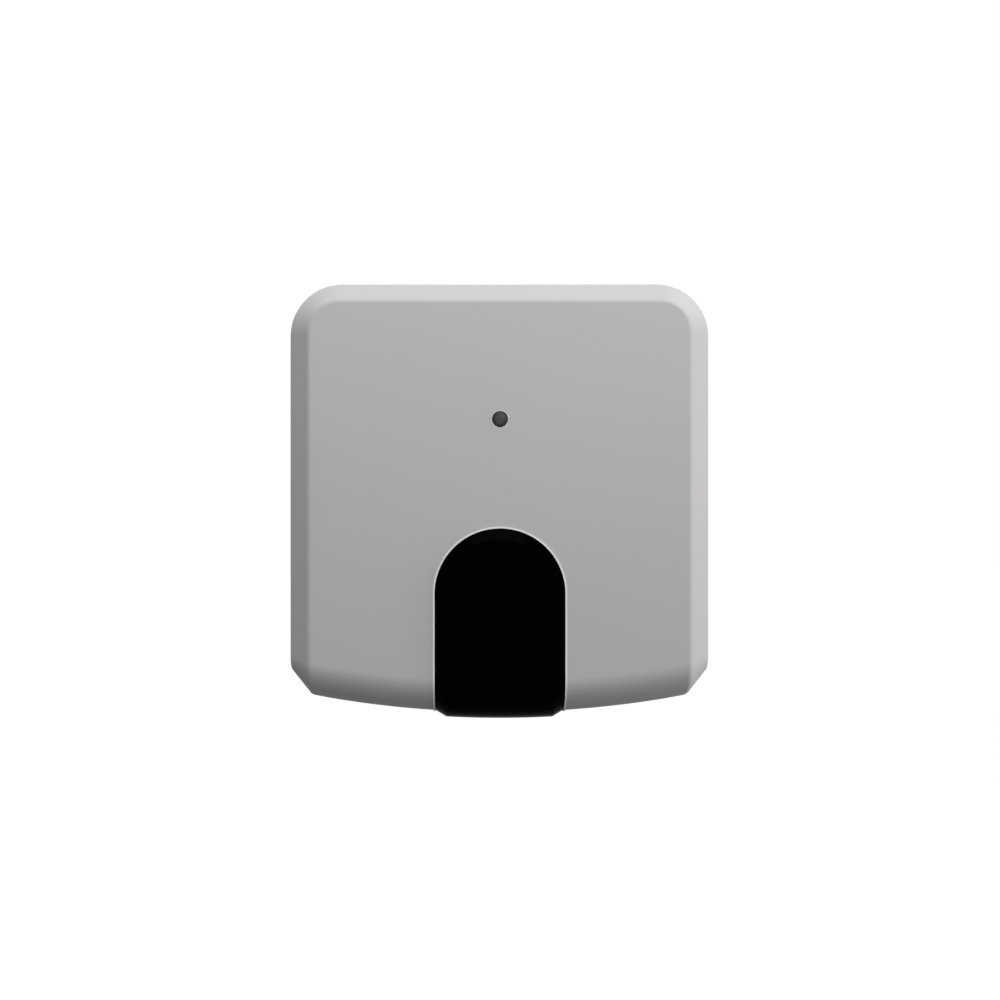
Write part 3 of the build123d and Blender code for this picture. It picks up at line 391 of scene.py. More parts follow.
def case_form(case, name, inset, rear, rounded=False):
    """Solid form of the case drawn in by an inset, from the depth rear to its front."""
    half = case.width / 2 - inset
    top = case.height / 2 - inset
    front = case.depth - inset
    belly = case.belly - inset
    centre = inset - case.height / 2 + belly
    slant = case.bevel - inset * (2 - math.sqrt(2))

    # Outline: a wide disc trimmed at the sides and the top, then rounded at the top corners
    clear_selection()
    bpy.ops.mesh.primitive_circle_add(
        vertices=BELLY_SIDES,
        radius=belly,
        fill_type="NGON",
        location=(0, -front, centre),
        rotation=(QUARTER, 0, 0),
    )
    piece = settle(name)
    for reach, normal in ((half, (1, 0, 0)), (half, (-1, 0, 0)), (top, (0, 0, 1))):
        place = [reach * part for part in normal]
        select_all()
        bpy.ops.mesh.bisect(plane_co=place, plane_no=normal, clear_outer=True)
    bevelled = half - slant - 2 * case.inner_round
    pick(piece, "VERT", lambda v: v.co.z < top - NEAR and bevelled < abs(v.co.x) < half - NEAR)
    bpy.ops.mesh.dissolve_verts()
    pick(piece, "VERT", lambda v: v.co.z > top - NEAR)
    round_edges(case.corner - inset, CORNER_SEGMENTS, affect="VERTICES")

    select_all()
    extrude(0, front - rear, 0)
    select_all()
    bpy.ops.mesh.normals_make_consistent(inside=False)

    # Bend from the front face to the underside
    def on_belly(point):
        return abs(point.y + front) < NEAR and abs(math.hypot(point.x, point.z - centre) - belly) < NEAR

    pick(piece, "EDGE", lambda e: all_points(e, on_belly))
    round_edges(case.bend - inset, BEND_SEGMENTS)

    # Broad bevel along the front rim, the sides of the bend and the lower side edges
    def sharp_rim(edge):
        ahead = not all_points(edge, lambda p: p.y > -rear - NEAR)
        return ahead and edge.calc_face_angle(0) > CORNER_ANGLE

    pick(piece, "EDGE", sharp_rim)
    round_edges(slant, 1)
    if rounded:
        for outer, radius, segments in (
            (True, case.outer_round, OUTER_SEGMENTS),
            (False, case.inner_round, INNER_SEGMENTS),
        ):
            pick(piece, "EDGE", lambda e: bevel_border(e, outer, rear))
            round_edges(radius * math.tan(QUARTER / 4), segments)
    close_edit()
    return piece


def bevel_border(edge, outer, rear):
    """Whether an edge borders the broad bevel on its outer side, or else on its inner side."""
    angle = edge.calc_face_angle(0)
    if not BORDER_ANGLE < angle < CORNER_ANGLE or all_points(edge, lambda p: p.y > -rear - NEAR):
        return False
    by_side = any(
        abs(face.normal.y) < FRONT_TILT and face.normal.z > -DOWN_TILT for face in edge.link_faces
    )
    return by_side == outer


def arch_form(case, window, name, radius, rear, corner):
    """Upright arch that runs from the depth rear past the front and down past the bottom of the case."""
    front = case.depth + radius
    clear_selection()
    bpy.ops.mesh.primitive_cylinder_add(
        vertices=ARCH_SIDES,
        radius=radius,
        depth=front - rear,
        location=(0, -(front + rear) / 2, window.centre),
        rotation=(QUARTER, 0, 0),
    )
    piece = settle(name)
    select_all()
    bpy.ops.mesh.bisect(
        plane_co=(0, 0, window.centre), plane_no=(0, 0, 1), clear_inner=True, use_fill=True
    )
    pick(piece, "FACE", lambda f: f.normal.z < -ALONG)
    drop = window.centre + case.height / 2 + radius
    extrude(0, 0, -drop)
    lowest = window.centre - drop + NEAR

    def rear_rim(edge):
        on_rear = all_points(edge, lambda p: abs(p.y + rear) < NEAR)
        corner_edge = edge.calc_face_angle(0) > CORNER_ANGLE
        return on_rear and corner_edge and not all_points(edge, lambda p: p.z < lowest)

    pick(piece, "EDGE", rear_rim)
    round_edges(corner, CUTTER_SEGMENTS)
    close_edit()
    return piece


def arch_of_case(case, window, name, inset, radius, rear, corner):
    """What the arch leaves of the case form drawn in by an inset."""
    piece = case_form(case, name, inset, 0.0)
    combine(piece, arch_form(case, window, name + "_arch", radius, rear, corner), "INTERSECT")
    return piece


def drum(name, radius, near, far, sides=HOLE_SIDES, place=(0.0, 0.0)):
    """Round bar along the depth, between two depths, left open for editing."""
    clear_selection()
    bpy.ops.mesh.primitive_cylinder_add(
        vertices=sides,
        radius=radius,
        depth=far - near,
        location=(place[0], -(near + far) / 2, place[1]),
        rotation=(QUARTER, 0, 0),
    )
    return settle(name)


def sink(piece, rim, bore):
    """Sink a hole into the rear end of a round bar and leave a rim."""
    pick(piece, "FACE", lambda f: f.normal.y > ALONG)
    bpy.ops.mesh.inset(thickness=rim)
    extrude(0, -bore, 0)


def bosses(name, radius, near, far, hole, bore, places):
    """Posts with a blind hole from the rear: one is modelled and copied to each place."""

    def modelled(point):
        return math.hypot(point.co.x, point.co.z) < radius + NEAR

    piece = drum(name, radius, near, far, POST_SIDES)
    sink(piece, radius - hole, bore)
    for x, z in places:
        pick(piece, "VERT", modelled)
        bpy.ops.mesh.duplicate_move(TRANSFORM_OT_translate={"value": (x, 0, z)})
    pick(piece, "VERT", modelled)
    bpy.ops.mesh.delete(type="VERT")
    close_edit()
    return piece


def screw_places(node, head):
    """Places (x, z) of the four screws of a node, whose heads have a radius."""
    low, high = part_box(node)
    return [(x, z) for x in (low.x + head, high.x - head) for z in (low.z + head, high.z - head)]


# Finishes


def add_node(tree, kind, inputs=None, **settings):
    """Add a node, set it up, and give each named input a value or a link."""
    node = tree.nodes.new(kind)
    for key, value in settings.items():
        setattr(node, key, value)
    for key, value in (inputs or {}).items():
        if isinstance(value, bpy.types.NodeSocket):
            tree.links.new(value, node.inputs[key])
        else:
            node.inputs[key].default_value = value
    return node


def calculate(tree, operation, *values, **settings):
    """Result of a calculation on values and links."""
    node = add_node(tree, "ShaderNodeMath", dict(enumerate(values)), operation=operation, **settings)
    return node.outputs[0]


def noise(tree, place, scale, detail):
    """Noise at a place."""
    inputs = {"Vector": place, "Scale": scale, "Detail": detail}
    return add_node(tree, "ShaderNodeTexNoise", inputs).outputs["Fac"]


def remap(tree, value, low, high, start, end):
    """Value carried over from the range low to high to the range start to end."""
    inputs = {"Value": value, "From Min": low, "From Max": high, "To Min": start, "To Max": end}
    return add_node(tree, "ShaderNodeMapRange", inputs).outputs["Result"]


def start_group(name, inputs, results):
    """Start a shader node group with named sockets; give back its tree, its inputs and its results."""
    group = bpy.data.node_groups.new(name, "ShaderNodeTree")
    kinds = {"Place": "NodeSocketVector", "Colour": "NodeSocketColor"}
    for side, sockets in (("INPUT", inputs), ("OUTPUT", results)):
        for socket in sockets:
            kind = kinds.get(socket, "NodeSocketFloat")
            group.interface.new_socket(socket, in_out=side, socket_type=kind)
    return group, group.nodes.new("NodeGroupInput").outputs, group.nodes.new("NodeGroupOutput").inputs


def grain_group():
    """Moulded grain: fine bumps of one size with a slower swell under them."""
    inputs = ("Place", "Bumps per Metre", "Swell per Metre")
    group, given, result = start_group("moulded grain", inputs, ("Height",))
    fine = noise(group, given["Place"], given["Bumps per Metre"], 2.0)
    slow = noise(group, given["Place"], given["Swell per Metre"], 1.0)
    swell_share = 0.4
    group.links.new(calculate(group, "MULTIPLY_ADD", slow, swell_share, fine), result["Height"])


def drift_group():
    """Tone drift: a colour that grows slightly lighter and darker over the surface."""
    inputs = ("Place", "Colour", "Spots per Metre", "Drift")
    group, given, result = start_group("tone drift", inputs, ("Colour",))
    spots = noise(group, given["Place"], given["Spots per Metre"], 4.0)
    darkest = calculate(group, "SUBTRACT", 1.0, given["Drift"])
    lightest = calculate(group, "ADD", 1.0, given["Drift"])
    factor = remap(group, spots, 0.25, 0.75, darkest, lightest)
    scaled = add_node(
        group, "ShaderNodeVectorMath", {0: given["Colour"], "Scale": factor}, operation="SCALE"
    )
    group.links.new(scaled.outputs["Vector"], result["Colour"])


def sheen_group():
    """Uneven polish: a roughness that wanders between two values."""
    inputs = ("Place", "Spots per Metre", "Low", "High")
    group, given, result = start_group("uneven polish", inputs, ("Roughness",))
    spots = noise(group, given["Place"], given["Spots per Metre"], 3.0)
    group.links.new(remap(group, spots, 0.3, 0.7, given["Low"], given["High"]), result["Roughness"])


def tracks_group():
    """Copper tracks under a board's lacquer: a mask of narrow ribs with round pads between them."""
    inputs = ("Place", "Tracks per Metre")
    group, given, result = start_group("copper tracks", inputs, ("Tracks", "Pads"))
    turned = add_node(
        group, "ShaderNodeMapping", {"Vector": given["Place"], "Rotation": (QUARTER, 0.0, 0.0)}
    ).outputs["Vector"]
    lines = add_node(
        group,
        "ShaderNodeTexBrick",
        {
            "Vector": turned,
            "Scale": given["Tracks per Metre"],
            "Mortar Size": 0.035,
            "Mortar Smooth": 0.2,
            "Brick Width": 3.1,
            "Row Height": 0.42,
        },
        offset=0.37,
    )
    cells = add_node(
        group, "ShaderNodeTexVoronoi", {"Vector": turned, "Scale": given["Tracks per Metre"]}
    )
    group.links.new(lines.outputs["Fac"], result["Tracks"])
    group.links.new(remap(group, cells.outputs["Distance"], 0.1, 0.14, 1.0, 0.0), result["Pads"])


def rim_group():
    """Rim of an outline: a mask of the band outside a circle, or outside an arch whose sides run down."""
    inputs = ("Place", "Centre Height", "Radius", "Lowest Rise", "Width", "Rear Depth")
    group, given, result = start_group("outline rim", inputs, ("Rim",))
    # The case lays a painted highlight on this band, and the button a painted shade
    parts = add_node(group, "ShaderNodeSeparateXYZ", {"Vector": given["Place"]}).outputs
    rise = calculate(group, "SUBTRACT", parts["Z"], given["Centre Height"])
    kept = calculate(group, "MAXIMUM", rise, given["Lowest Rise"])
    flat = add_node(group, "ShaderNodeCombineXYZ", {"X": parts["X"], "Z": kept}).outputs["Vector"]
    reach = add_node(group, "ShaderNodeVectorMath", {0: flat}, operation="LENGTH").outputs["Value"]
    beyond = calculate(group, "SUBTRACT", reach, given["Radius"])
    within = calculate(group, "LESS_THAN", beyond, given["Width"])

    # The band begins a little inside the outline, so that the outline itself is in it
    overlap = 0.1 * MM
    outside = calculate(group, "GREATER_THAN", beyond, -overlap)
    depth = calculate(group, "MULTIPLY", parts["Y"], -1.0)
    before = calculate(group, "GREATER_THAN", depth, given["Rear Depth"])
    band = calculate(group, "MULTIPLY", within, outside)
    group.links.new(calculate(group, "MULTIPLY", band, before), result["Rim"])


def use(tree, name, inputs):
    """Results of one of the shared effects, placed in a material."""
    return add_node(tree, "ShaderNodeGroup", inputs, node_tree=bpy.data.node_groups[name]).outputs


def finish(name, colour, drift, roughness, grain, **values):
    """Material with drifting tone, uneven polish and a fine relief."""
    # Spots per metre, and by how much the tone changes
    spots, change = drift
    # Lowest and highest roughness
    low, high = roughness
    # Bumps per metre, swell per metre, and the depth of the relief in metres
    bumps, swell, depth = grain
    material = bpy.data.materials.new(name)
    material.use_nodes = True
    tree = material.node_tree
    shader = tree.nodes["Principled BSDF"]
    place = add_node(tree, "ShaderNodeTexCoord").outputs["Object"]
    toned = use(
        tree, "tone drift", {"Place": place, "Colour": colour, "Spots per Metre": spots, "Drift": change}
    )
    polish = use(
        tree, "uneven polish", {"Place": place, "Spots per Metre": 3 * spots, "Low": low, "High": high}
    )
    relief = use(
        tree, "moulded grain", {"Place": place, "Bumps per Metre": bumps, "Swell per Metre": swell}
    )
    bump = add_node(
        tree, "ShaderNodeBump", {"Height": relief["Height"], "Distance": depth, "Strength": 1.0}
    )
    tree.links.new(toned["Colour"], shader.inputs["Base Color"])
    tree.links.new(polish["Roughness"], shader.inputs["Roughness"])
    tree.links.new(bump.outputs["Normal"], shader.inputs["Normal"])
    for key, value in values.items():
        shader.inputs[key.replace("_", " ")].default_value = value
    return material


def place_in(material):
    """Place on the surface that a finished material already reads."""
    return material.node_tree.nodes["Texture Coordinate"].outputs["Object"]


def blend(tree, mask, colour):
    """Mix a second colour into a material's base colour where a mask says."""
    base = tree.nodes["Principled BSDF"].inputs["Base Color"]
    plain = base.links[0].from_socket
    inputs = {"Factor": mask, "A": plain, "B": colour}
    mixed = add_node(tree, "ShaderNodeMix", inputs, data_type="RGBA", blend_type="MIX")
    tree.links.new(mixed.outputs["Result"], base)


def dress(piece, material):
    """Give a piece its material."""
    if piece.material_slots:
        for place in piece.material_slots:
            place.material = material
    else:
        piece.data.materials.append(material)


# Operators


class CONTROLLER_OT_effects(bpy.types.Operator):
    """Make the effects that the finishes share"""

    bl_idname = "controller.effects"
    bl_label = "Shared Effects"

    def execute(self, context):
        grain_group()
        drift_group()
        sheen_group()
        tracks_group()
        rim_group()
        return {"FINISHED"}


class CONTROLLER_OT_front_shell(bpy.types.Operator):
    """Model the front of the case, with its bevel, bend, window opening, lip and button hole"""

    bl_idname = "controller.front_shell"
    bl_label = "Front Shell"

    def execute(self, context):
        case = context.scene.controller_case
        window = context.scene.controller_window
        button = context.scene.controller_button
        colours = context.scene.controller_colours
        shell = case_form(case, "front_shell", 0.0, case.parting, rounded=True)
        combine(shell, case_form(case, "hollow", case.wall, case.parting - case.wall), "DIFFERENCE")

        # Bosses, posts and the button's collar, which end inside the wall
        inside = case.depth - case.wall / 2
        fittings = (
            bosses(
                "case_bosses",
                case.boss_radius,
                case.boss_start,
                inside,
                case.boss_hole,
                case.boss_bore,
                screw_places("case_screws", case.case_head),
            ),
            bosses(
                "board_posts",
                case.post_radius,
                -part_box("main_board")[0].y,
                inside,
                case.post_hole,
                case.post_bore,
                screw_places("board_screws", case.board_head),
            ),
            self.collar(case, button, inside),
        )
        for fitting in fittings:
            combine(shell, fitting, "UNION")

        # Lip round the window, then the opening
        lip = arch_of_case(
            case,
            window,
            "lip",
            -window.lip_rise,
            window.radius + window.gap + window.lip_width,
            window.back - window.gap - window.lip_width,
            window.corner + window.lip_width,
        )
        combine(lip, case_form(case, "lip_core", case.wall / 2, 0.0), "DIFFERENCE")
        combine(shell, lip, "UNION")
        radius, rear = window.radius + window.gap, window.back - window.gap
        opening = arch_form(case, window, "opening", radius, rear, window.corner)
        combine(shell, opening, "DIFFERENCE")

        # Button hole with a broken edge, and the way in for the plug
        near, far = case.depth - 2 * case.wall, case.depth + case.wall
        hole = drum("button_hole", button.radius + button.gap, near, far, place=(0.0, button.height))
        close_edit()
        combine(shell, hole, "DIFFERENCE")
        open_edit(shell)

        def hole_rim(point):
            reach = math.hypot(point.x, point.z - button.height)
            return abs(point.y + case.depth) < NEAR and abs(reach - button.radius - button.gap) < NEAR

        pick(shell, "EDGE", lambda e: all_points(e, hole_rim))
        round_edges(button.hole_edge, EDGE_SEGMENTS)
        bpy.ops.object.mode_set(mode="OBJECT")
        combine(shell, self.plug_entry(case), "DIFFERENCE")

        soften(shell)
        dress(shell, case_finish(case, window, button, colours))
        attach(shell, "housing")
        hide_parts("front_cover")
        return {"FINISHED"}

    def collar(self, case, button, inside):
        """Short tube behind the front wall that guides the button's flange."""
        inner = button.flange_radius + button.collar_gap
        outer = inner + button.collar_wall
        near = case.depth - case.wall - button.collar_length
        piece = drum("collar", outer, near, inside, place=(0.0, button.height))
        sink(piece, outer - inner, button.collar_length)
        close_edit()
        return piece

    def plug_entry(self, case):
        """Cutter of the rounded opening below the power socket."""
        middle = (shell_low + shell_high) / 2
        clear_selection()
        bpy.ops.mesh.primitive_cube_add(
            size=1.0,
            location=(middle.x, middle.y, shell_low.z - case.plug_reach / 2),
            scale=(case.plug_width, case.plug_depth, case.plug_reach),
        )
        piece = settle("plug_entry")
        pick(piece, "EDGE", lambda e: abs(e.verts[0].co.z - e.verts[1].co.z) > MM)
        round_edges(case.plug_corner, CUTTER_SEGMENTS)
        close_edit()
        return piece


def case_finish(case, window, button, colours):
    """Finely grained light grey plastic, with a painted highlight on the lip round the window and a
    fainter painted highlight round the button hole.
    """
    grain = (5200.0, 700.0, 0.000006)
    material = finish(
        "case plastic", colours.case, (25.0, 0.012), (0.46, 0.54), grain, Specular_IOR_Level=0.015
    )
    tree = material.node_tree
    # Painted highlight along the lip round the window
    lip = use(
        tree,
        "outline rim",
        {
            "Place": place_in(material),
            "Centre Height": window.centre,
            "Radius": window.radius + window.gap,
            "Lowest Rise": 0.0,
            "Width": window.lip_painted_highlight,
            "Rear Depth": window.back - window.gap - window.lip_width,
        },
    )
    # Fainter painted highlight round the button hole
    ring = use(
        tree,
        "outline rim",
        {
            "Place": place_in(material),
            "Centre Height": button.height,
            "Radius": button.radius + button.gap,
            "Lowest Rise": -case.height,
            "Width": button.ring,
            "Rear Depth": case.depth - button.hole_edge,
        },
    )
    faint = calculate(tree, "MULTIPLY", ring["Rim"], colours.ring)
    blend(tree, calculate(tree, "MAXIMUM", lip["Rim"], faint), colours.rim)
    return material


class CONTROLLER_OT_rear_shell(bpy.types.Operator):
    """Finish the rear of the case, with its vents, keyholes and screw pockets"""

    bl_idname = "controller.rear_shell"
    bl_label = "Rear Shell"

    def execute(self, context):
        colour = context.scene.controller_colours.case
        grain = (4200.0, 600.0, 0.000012)
        shell = merged_copy("rear_cover", "rear_shell")
        soften(shell)
        dress(
            shell,
            finish("rear plastic", colour, (25.0, 0.015), (0.5, 0.6), grain, Specular_IOR_Level=0.15),
        )
        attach(shell, "housing")
        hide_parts("rear_cover")
        return {"FINISHED"}


class CONTROLLER_OT_window(bpy.types.Operator):
    """Model the window: a proud arch with a sloped edge that wraps round the bend"""

    bl_idname = "controller.window"
    bl_label = "Window"

    def execute(self, context):
        case = context.scene.controller_case
        window = context.scene.controller_window
        cover = arch_of_case(
            case,
            window,
            "window_cover",
            window.edge_drop - window.proud,
            window.radius,
            window.back,
            window.corner,
        )
        self.raise_face(cover, window)
        flange = arch_of_case(
            case,
            window,
            "window_flange",
            case.wall + window.seat,
            window.radius + window.flange,
            window.back - window.flange,
            window.corner,
        )
        combine(cover, flange, "UNION")
        hollow = arch_of_case(
            case,
            window,
            "window_hollow",
            window.skin - window.proud,
            window.radius - window.skirt,
            window.back + window.skirt,
            window.corner - window.skirt,
        )
        combine(cover, hollow, "DIFFERENCE")
        behind = case_form(case, "window_core", case.wall + window.seat + window.flange_thickness, 0.0)
        combine(cover, behind, "DIFFERENCE")
        soften(cover, 25.0)
        colour = context.scene.controller_colours.window
        grain = (900.0, 120.0, 0.000001)
        dress(
            cover,
            finish("smoked window", colour, (40.0, 0.3), (0.12, 0.18), grain, Specular_IOR_Level=0.004),
        )
        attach(cover, "housing")
        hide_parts("ir_window")
        return {"FINISHED"}

    def raise_face(self, cover, window):
        """Raise the face of the window inside a sloped edge and round the edges."""
        band = window.radius - window.edge_width - 2 * window.edge_round

        def on_skin(face):
            return face.normal.y < -SKIN_FRONT or face.normal.z < -SKIN_DOWN

        def across_band(edge):
            start, end = (point.co for point in edge.verts)
            runs_back = abs(start.x - end.x) < STRAY * edge.calc_length()
            reaches_band = max(abs(start.x), abs(end.x)) > band
            return runs_back and reaches_band and all(map(on_skin, edge.link_faces))

        open_edit(cover)
        pick(cover, "EDGE", across_band)
        bpy.ops.mesh.dissolve_edges(use_verts=True)
        pick(cover, "FACE", on_skin)
        bpy.ops.mesh.inset(
            thickness=window.edge_width, depth=window.edge_drop, use_even_offset=True, use_boundary=True
        )
        pick(cover, "EDGE", lambda e: RIDGE_ANGLES[0] < e.calc_face_angle(0) < RIDGE_ANGLES[1])
        round_edges(window.edge_round, EDGE_SEGMENTS)
        close_edit()


class CONTROLLER_OT_button(bpy.types.Operator):
    """Model the button: a small domed head on a stem, with a flange behind the wall"""

    bl_idname = "controller.button"
    bl_label = "Button"

    def execute(self, context):
        case = context.scene.controller_case
        button = context.scene.controller_button
        middle = (0.0, button.height)
        key = drum("button_key", button.radius, -button_high.y, -button_low.y, place=middle)
        pick(key, "FACE", lambda f: f.normal.y < -ALONG)
        bpy.ops.mesh.region_to_loop()
        round_edges(button.edge, BUTTON_SEGMENTS)

        # Slight dome: rings, each of which rises less than the one before
        pick(key, "FACE", lambda f: f.normal.y < -ALONG and len(f.verts) > 4)
        rises = (0.4, 0.3, 0.2, 0.1)
        ring = (button.radius - button.edge) / (len(rises) + 1)
        for rise in rises:
            bpy.ops.mesh.inset(thickness=ring, depth=button.crown * rise)
        close_edit()
        far = case.depth - case.wall - button.flange_gap
        flange = drum("button_flange", button.flange_radius, far - button.flange, far, place=middle)
        pick(flange, "EDGE", lambda e: e.calc_face_angle(0) > CORNER_ANGLE)
        round_edges(button.flange / 8, FLANGE_SEGMENTS)
        close_edit()
        combine(key, flange, "UNION")
        soften(key)
        dress(key, button_finish(case, button, context.scene.controller_colours))
        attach(key, "button")
        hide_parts("button_cap")
        return {"FINISHED"}


def button_finish(case, button, colours):
    """Smoked satin plastic, with a painted shade round the rim."""
    grain = (9000.0, 1500.0, 0.000002)
    material = finish(
        "smoked button", colours.button, (600.0, 0.08), (0.22, 0.34), grain, Specular_IOR_Level=0.25
    )
    tree = material.node_tree
    # Painted shade on the button's rounded rim
    rim = use(
        tree,
        "outline rim",
        {
            "Place": place_in(material),
            "Centre Height": button.height,
            "Radius": button.radius - button.edge,
            "Lowest Rise": -case.height,
            "Width": button.gap + button.edge,
            "Rear Depth": 0.0,
        },
    )
    blend(tree, rim["Rim"], colours.button_rim_painted_shade)
    return material


class CONTROLLER_OT_fasteners(bpy.types.Operator):
    """Finish the screws that hold the case and the board"""

    bl_idname = "controller.fasteners"
    bl_label = "Fasteners"

    def execute(self, context):
        colour = context.scene.controller_colours.steel
        grain = (3000.0, 500.0, 0.000004)
        plated = finish("zinc plate", colour, (300.0, 0.06), (0.22, 0.38), grain, Metallic=1.0)
        for node, name in (("case_screws", "case_fasteners"), ("board_screws", "board_fasteners")):
            piece = merged_copy(node, name)
            soften(piece)
            dress(piece, plated)
            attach(piece, "housing")
            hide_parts(node)
        return {"FINISHED"}


class CONTROLLER_OT_inner_finishes(bpy.types.Operator):
    """Finish the boards, the socket, the switch and the parts soldered to the board"""

    bl_idname = "controller.inner_finishes"
    bl_label = "Inner Finishes"

    def execute(self, context):
        colours = context.scene.controller_colours
        resin_grain = (9000.0, 2200.0, 0.000006)
        metal_grain = (2600.0, 400.0, 0.000003)
        nylon_grain = (6500.0, 900.0, 0.000008)
        ferrite_grain = (7000.0, 3000.0, 0.00002)
        drawn_grain = (1800.0, 250.0, 0.000004)
        polished = (700.0, 150.0, 0.000001)
        clear_grain = (800.0, 200.0, 0.000001)
        metal = {"Metallic": 1.0}
        resin = finish("moulded resin", colours.resin, (400.0, 0.12), (0.45, 0.6), resin_grain)
        tin = finish("tinned metal", colours.tin, (500.0, 0.05), (0.2, 0.4), metal_grain, **metal)
        steel = finish("stamped steel", colours.steel, (250.0, 0.05), (0.25, 0.4), metal_grain, **metal)
        gold = finish("gilded metal", colours.gold, (500.0, 0.05), (0.18, 0.3), metal_grain, **metal)
        nickel = finish("nickel silver", colours.nickel, (220.0, 0.06), (0.28, 0.42), metal_grain, **metal)
        sleeve = finish(
            "drawn aluminium", colours.aluminium, (180.0, 0.04), (0.2, 0.32), drawn_grain, **metal
        )
        nylon = finish("glass-filled nylon", colours.nylon, (350.0, 0.15), (0.32, 0.5), nylon_grain)
        ferrite = finish("pressed ferrite", colours.ferrite, (900.0, 0.2), (0.6, 0.8), ferrite_grain)
        ceramic = finish("fired ceramic", colours.ceramic, (700.0, 0.15), (0.35, 0.5), resin_grain)
        pale = finish("pale lens", colours.lens, (600.0, 0.05), (0.2, 0.3), resin_grain)
        white = finish("white nylon", colours.plunger, (300.0, 0.03), (0.4, 0.5), resin_grain)
        smoked = finish(
            "smoked resin", colours.filter, (250.0, 0.1), (0.06, 0.14), polished, Coat_Weight=0.4
        )
        clear = finish(
            "clear resin",
            colours.clear,
            (200.0, 0.04),
            (0.05, 0.12),
            clear_grain,
            Transmission_Weight=0.85,
            IOR=1.53,
        )
        dressed = {
            resin: ("controller_chip", "regulator", "driver_transistors", "input_diode", "chip_resistors"),
            nylon: ("switch_base", "header_base", "capacitor_bases", "usb_tongue", "emitter_holder"),
            ferrite: ("power_inductor",),
            smoked: ("ir_receiver",),
            tin: ("controller_pins", "emitter_leads", "receiver_leads", "switch_pins", "header_pins"),
            nickel: ("wifi_shield", "crystal_can"),
            sleeve: ("capacitor_cans",),
            steel: ("usb_shell", "switch_cover", "switch_dome"),
            gold: ("usb_contacts", "wifi_antenna"),
            ceramic: ("chip_capacitors", "resettable_fuse"),
            clear: ("ir_emitters",),
            pale: ("status_led",),
            white: ("switch_plunger",),
            board_finish("main board lacquer", colours.board, colours.tin): ("main_board",),
            board_finish("module lacquer", colours.module, colours.tin): ("wifi_board",),
        }
        for material, nodes in dressed.items():
            for node in nodes:
                dress(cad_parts[node], material)
        return {"FINISHED"}


def board_finish(name, colour, tin):
    """Lacquered board: copper tracks show through as a lighter relief, with bare tinned pads."""
    material = finish(name, colour, (120.0, 0.1), (0.25, 0.4), (4000.0, 300.0, 0.000003))
    tree = material.node_tree
    copper = use(tree, "copper tracks", {"Place": place_in(material), "Tracks per Metre": 260.0})
    lighter = tuple(min(1.0, 1.7 * part + 0.01) for part in colour[:3]) + (1.0,)
    blend(tree, copper["Tracks"], lighter)
    blend(tree, copper["Pads"], tin)
    tree.links.new(copper["Pads"], tree.nodes["Principled BSDF"].inputs["Metallic"])
    return material


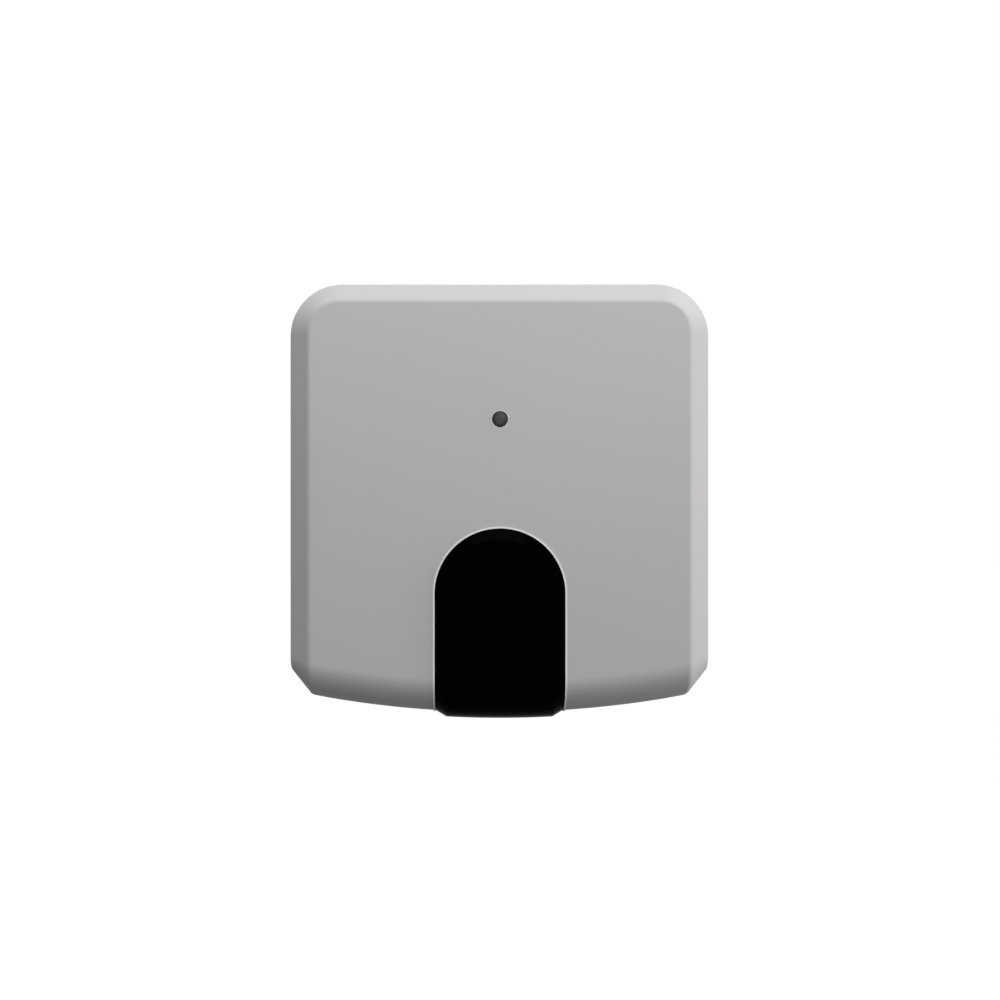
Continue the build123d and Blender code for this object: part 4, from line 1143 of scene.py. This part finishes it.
class CONTROLLER_OT_stage(bpy.types.Operator):
    """Set up the floor, the background, the lamps and the camera"""

    bl_idname = "controller.stage"
    bl_label = "Stage"

    def execute(self, context):
        stage = context.scene.controller_stage
        self.background(context.scene, stage)
        self.floor(stage)
        for name, place, size, code in LAMPS:
            self.lamp(name + "_lamp", place, size, getattr(stage, name + "_power"), code)
        clear_selection()
        bpy.ops.object.camera_add(
            location=(stage.aside, -stage.distance, stage.above), rotation=(QUARTER, 0, 0)
        )
        camera = context.active_object
        camera.name = "camera"
        camera.data.lens = stage.lens
        camera.data.clip_start = 5 * MM

        # The shift keeps the middle of the front in the middle of the picture
        front = context.scene.controller_case.depth
        reach = stage.lens / camera.data.sensor_width / (stage.distance - front)
        camera.data.shift_x = -stage.aside * reach
        camera.data.shift_y = -stage.above * reach + stage.shift
        context.scene.camera = camera
        context.scene.view_settings.view_transform = "Standard"
        return {"FINISHED"}

    def seen_directly(self, tree):
        """One for rays from the camera and for those that gloss or clear material sends on, else zero."""
        path = add_node(tree, "ShaderNodeLightPath").outputs
        bright = calculate(tree, "ADD", path["Is Camera Ray"], path["Is Glossy Ray"])
        return calculate(tree, "ADD", bright, path["Is Transmission Ray"], use_clamp=True)

    def background(self, scene, stage):
        """White where it is seen, and a soft fill of light for the object."""
        world = bpy.data.worlds.new("studio")
        scene.world = world
        world.use_nodes = True
        tree = world.node_tree
        fill = tree.nodes["Background"]
        fill.inputs["Color"].default_value = stage.fill_colour
        fill.inputs["Strength"].default_value = stage.fill
        seen = add_node(tree, "ShaderNodeBackground", {"Color": WHITE, "Strength": 1.0})
        inputs = {0: self.seen_directly(tree), 1: fill.outputs[0], 2: seen.outputs[0]}
        mixed = add_node(tree, "ShaderNodeMixShader", inputs)
        tree.links.new(mixed.outputs[0], tree.nodes["World Output"].inputs["Surface"])

    def floor(self, stage):
        """Wide pale floor, well below the object."""
        clear_selection()
        bpy.ops.mesh.primitive_plane_add(size=FLOOR_SIZE, location=(0, 0, stage.floor_height))
        floor = settle("floor")
        bpy.ops.mesh.subdivide(number_cuts=3)
        bpy.ops.object.mode_set(mode="OBJECT")
        material = bpy.data.materials.new("pale floor")
        material.use_nodes = True
        tree = material.node_tree
        shader = tree.nodes["Principled BSDF"]
        shader.inputs["Base Color"].default_value = stage.floor_colour
        shader.inputs["Roughness"].default_value = 0.9
        shader.inputs["Specular IOR Level"].default_value = 0.1
        shader.inputs["Emission Color"].default_value = WHITE

        # The floor glows white where it is seen, less so where the lamps above already light it
        place = add_node(tree, "ShaderNodeTexCoord").outputs["Object"]
        pool = (*POOL_PLACE, stage.floor_height)
        reach = add_node(tree, "ShaderNodeVectorMath", {0: place, 1: pool}, operation="DISTANCE")
        spread = calculate(tree, "MULTIPLY", reach.outputs["Value"], POOL_SPREAD)
        square = calculate(tree, "MULTIPLY_ADD", spread, spread, 1.0)
        fall = calculate(tree, "POWER", square, POOL_POWER)
        dimmed = calculate(tree, "MULTIPLY_ADD", fall, -stage.floor_lit, stage.floor_glow)
        glow = calculate(tree, "MULTIPLY", self.seen_directly(tree), dimmed)
        tree.links.new(glow, shader.inputs["Emission Strength"])
        dress(floor, material)

    def lamp(self, name, place, size, power, code):
        """Rectangular soft lamp aimed at the middle of the case."""
        clear_selection()
        bpy.ops.object.light_add(type="AREA", location=place)
        lamp = bpy.context.active_object
        lamp.name = name
        lamp.data.shape = "RECTANGLE"
        lamp.data.size, lamp.data.size_y = size
        lamp.data.energy = power
        lamp.data.color = linear(code)[:3]
        aim = LAMP_AIM - Vector(place)
        lamp.rotation_euler = aim.to_track_quat("-Z", "Y").to_euler()


class CONTROLLER_PT_panel(bpy.types.Panel):
    """Sizes, colours and steps of the wall controller"""

    bl_idname = "CONTROLLER_PT_panel"
    bl_label = "Wall Controller"
    bl_space_type = "VIEW_3D"
    bl_region_type = "UI"
    bl_category = "Controller"

    def draw(self, context):
        scene = context.scene
        for group in GROUPS:
            box = self.layout.box()
            box.label(text=group.title())
            settings = getattr(scene, "controller_" + group)
            for name in settings.bl_rna.properties.keys():
                if name not in ("name", "rna_type"):
                    box.prop(settings, name)
        for step in STEPS:
            self.layout.operator(step.bl_idname)


GROUPS = {
    "case": CaseSizes,
    "window": WindowSizes,
    "button": ButtonSizes,
    "colours": FinishColours,
    "stage": StageSettings,
}
STEPS = (
    CONTROLLER_OT_effects,
    CONTROLLER_OT_front_shell,
    CONTROLLER_OT_rear_shell,
    CONTROLLER_OT_window,
    CONTROLLER_OT_button,
    CONTROLLER_OT_fasteners,
    CONTROLLER_OT_inner_finishes,
    CONTROLLER_OT_stage,
)


def register():
    """Register the settings, the steps and the panel."""
    for name, group in GROUPS.items():
        bpy.utils.register_class(group)
        setattr(bpy.types.Scene, "controller_" + name, PointerProperty(type=group))
    for step in STEPS:
        bpy.utils.register_class(step)
    bpy.utils.register_class(CONTROLLER_PT_panel)


def unregister():
    """Take away what register added."""
    bpy.utils.unregister_class(CONTROLLER_PT_panel)
    for step in reversed(STEPS):
        bpy.utils.unregister_class(step)
    for name, group in GROUPS.items():
        delattr(bpy.types.Scene, "controller_" + name)
        bpy.utils.unregister_class(group)


def main():
    """Run every step in order."""
    register()
    bpy.ops.controller.effects()
    bpy.ops.controller.front_shell()
    bpy.ops.controller.rear_shell()
    bpy.ops.controller.window()
    bpy.ops.controller.button()
    bpy.ops.controller.fasteners()
    bpy.ops.controller.inner_finishes()
    bpy.ops.controller.stage()
    clear_selection()


if __name__ == "__main__":
    main()
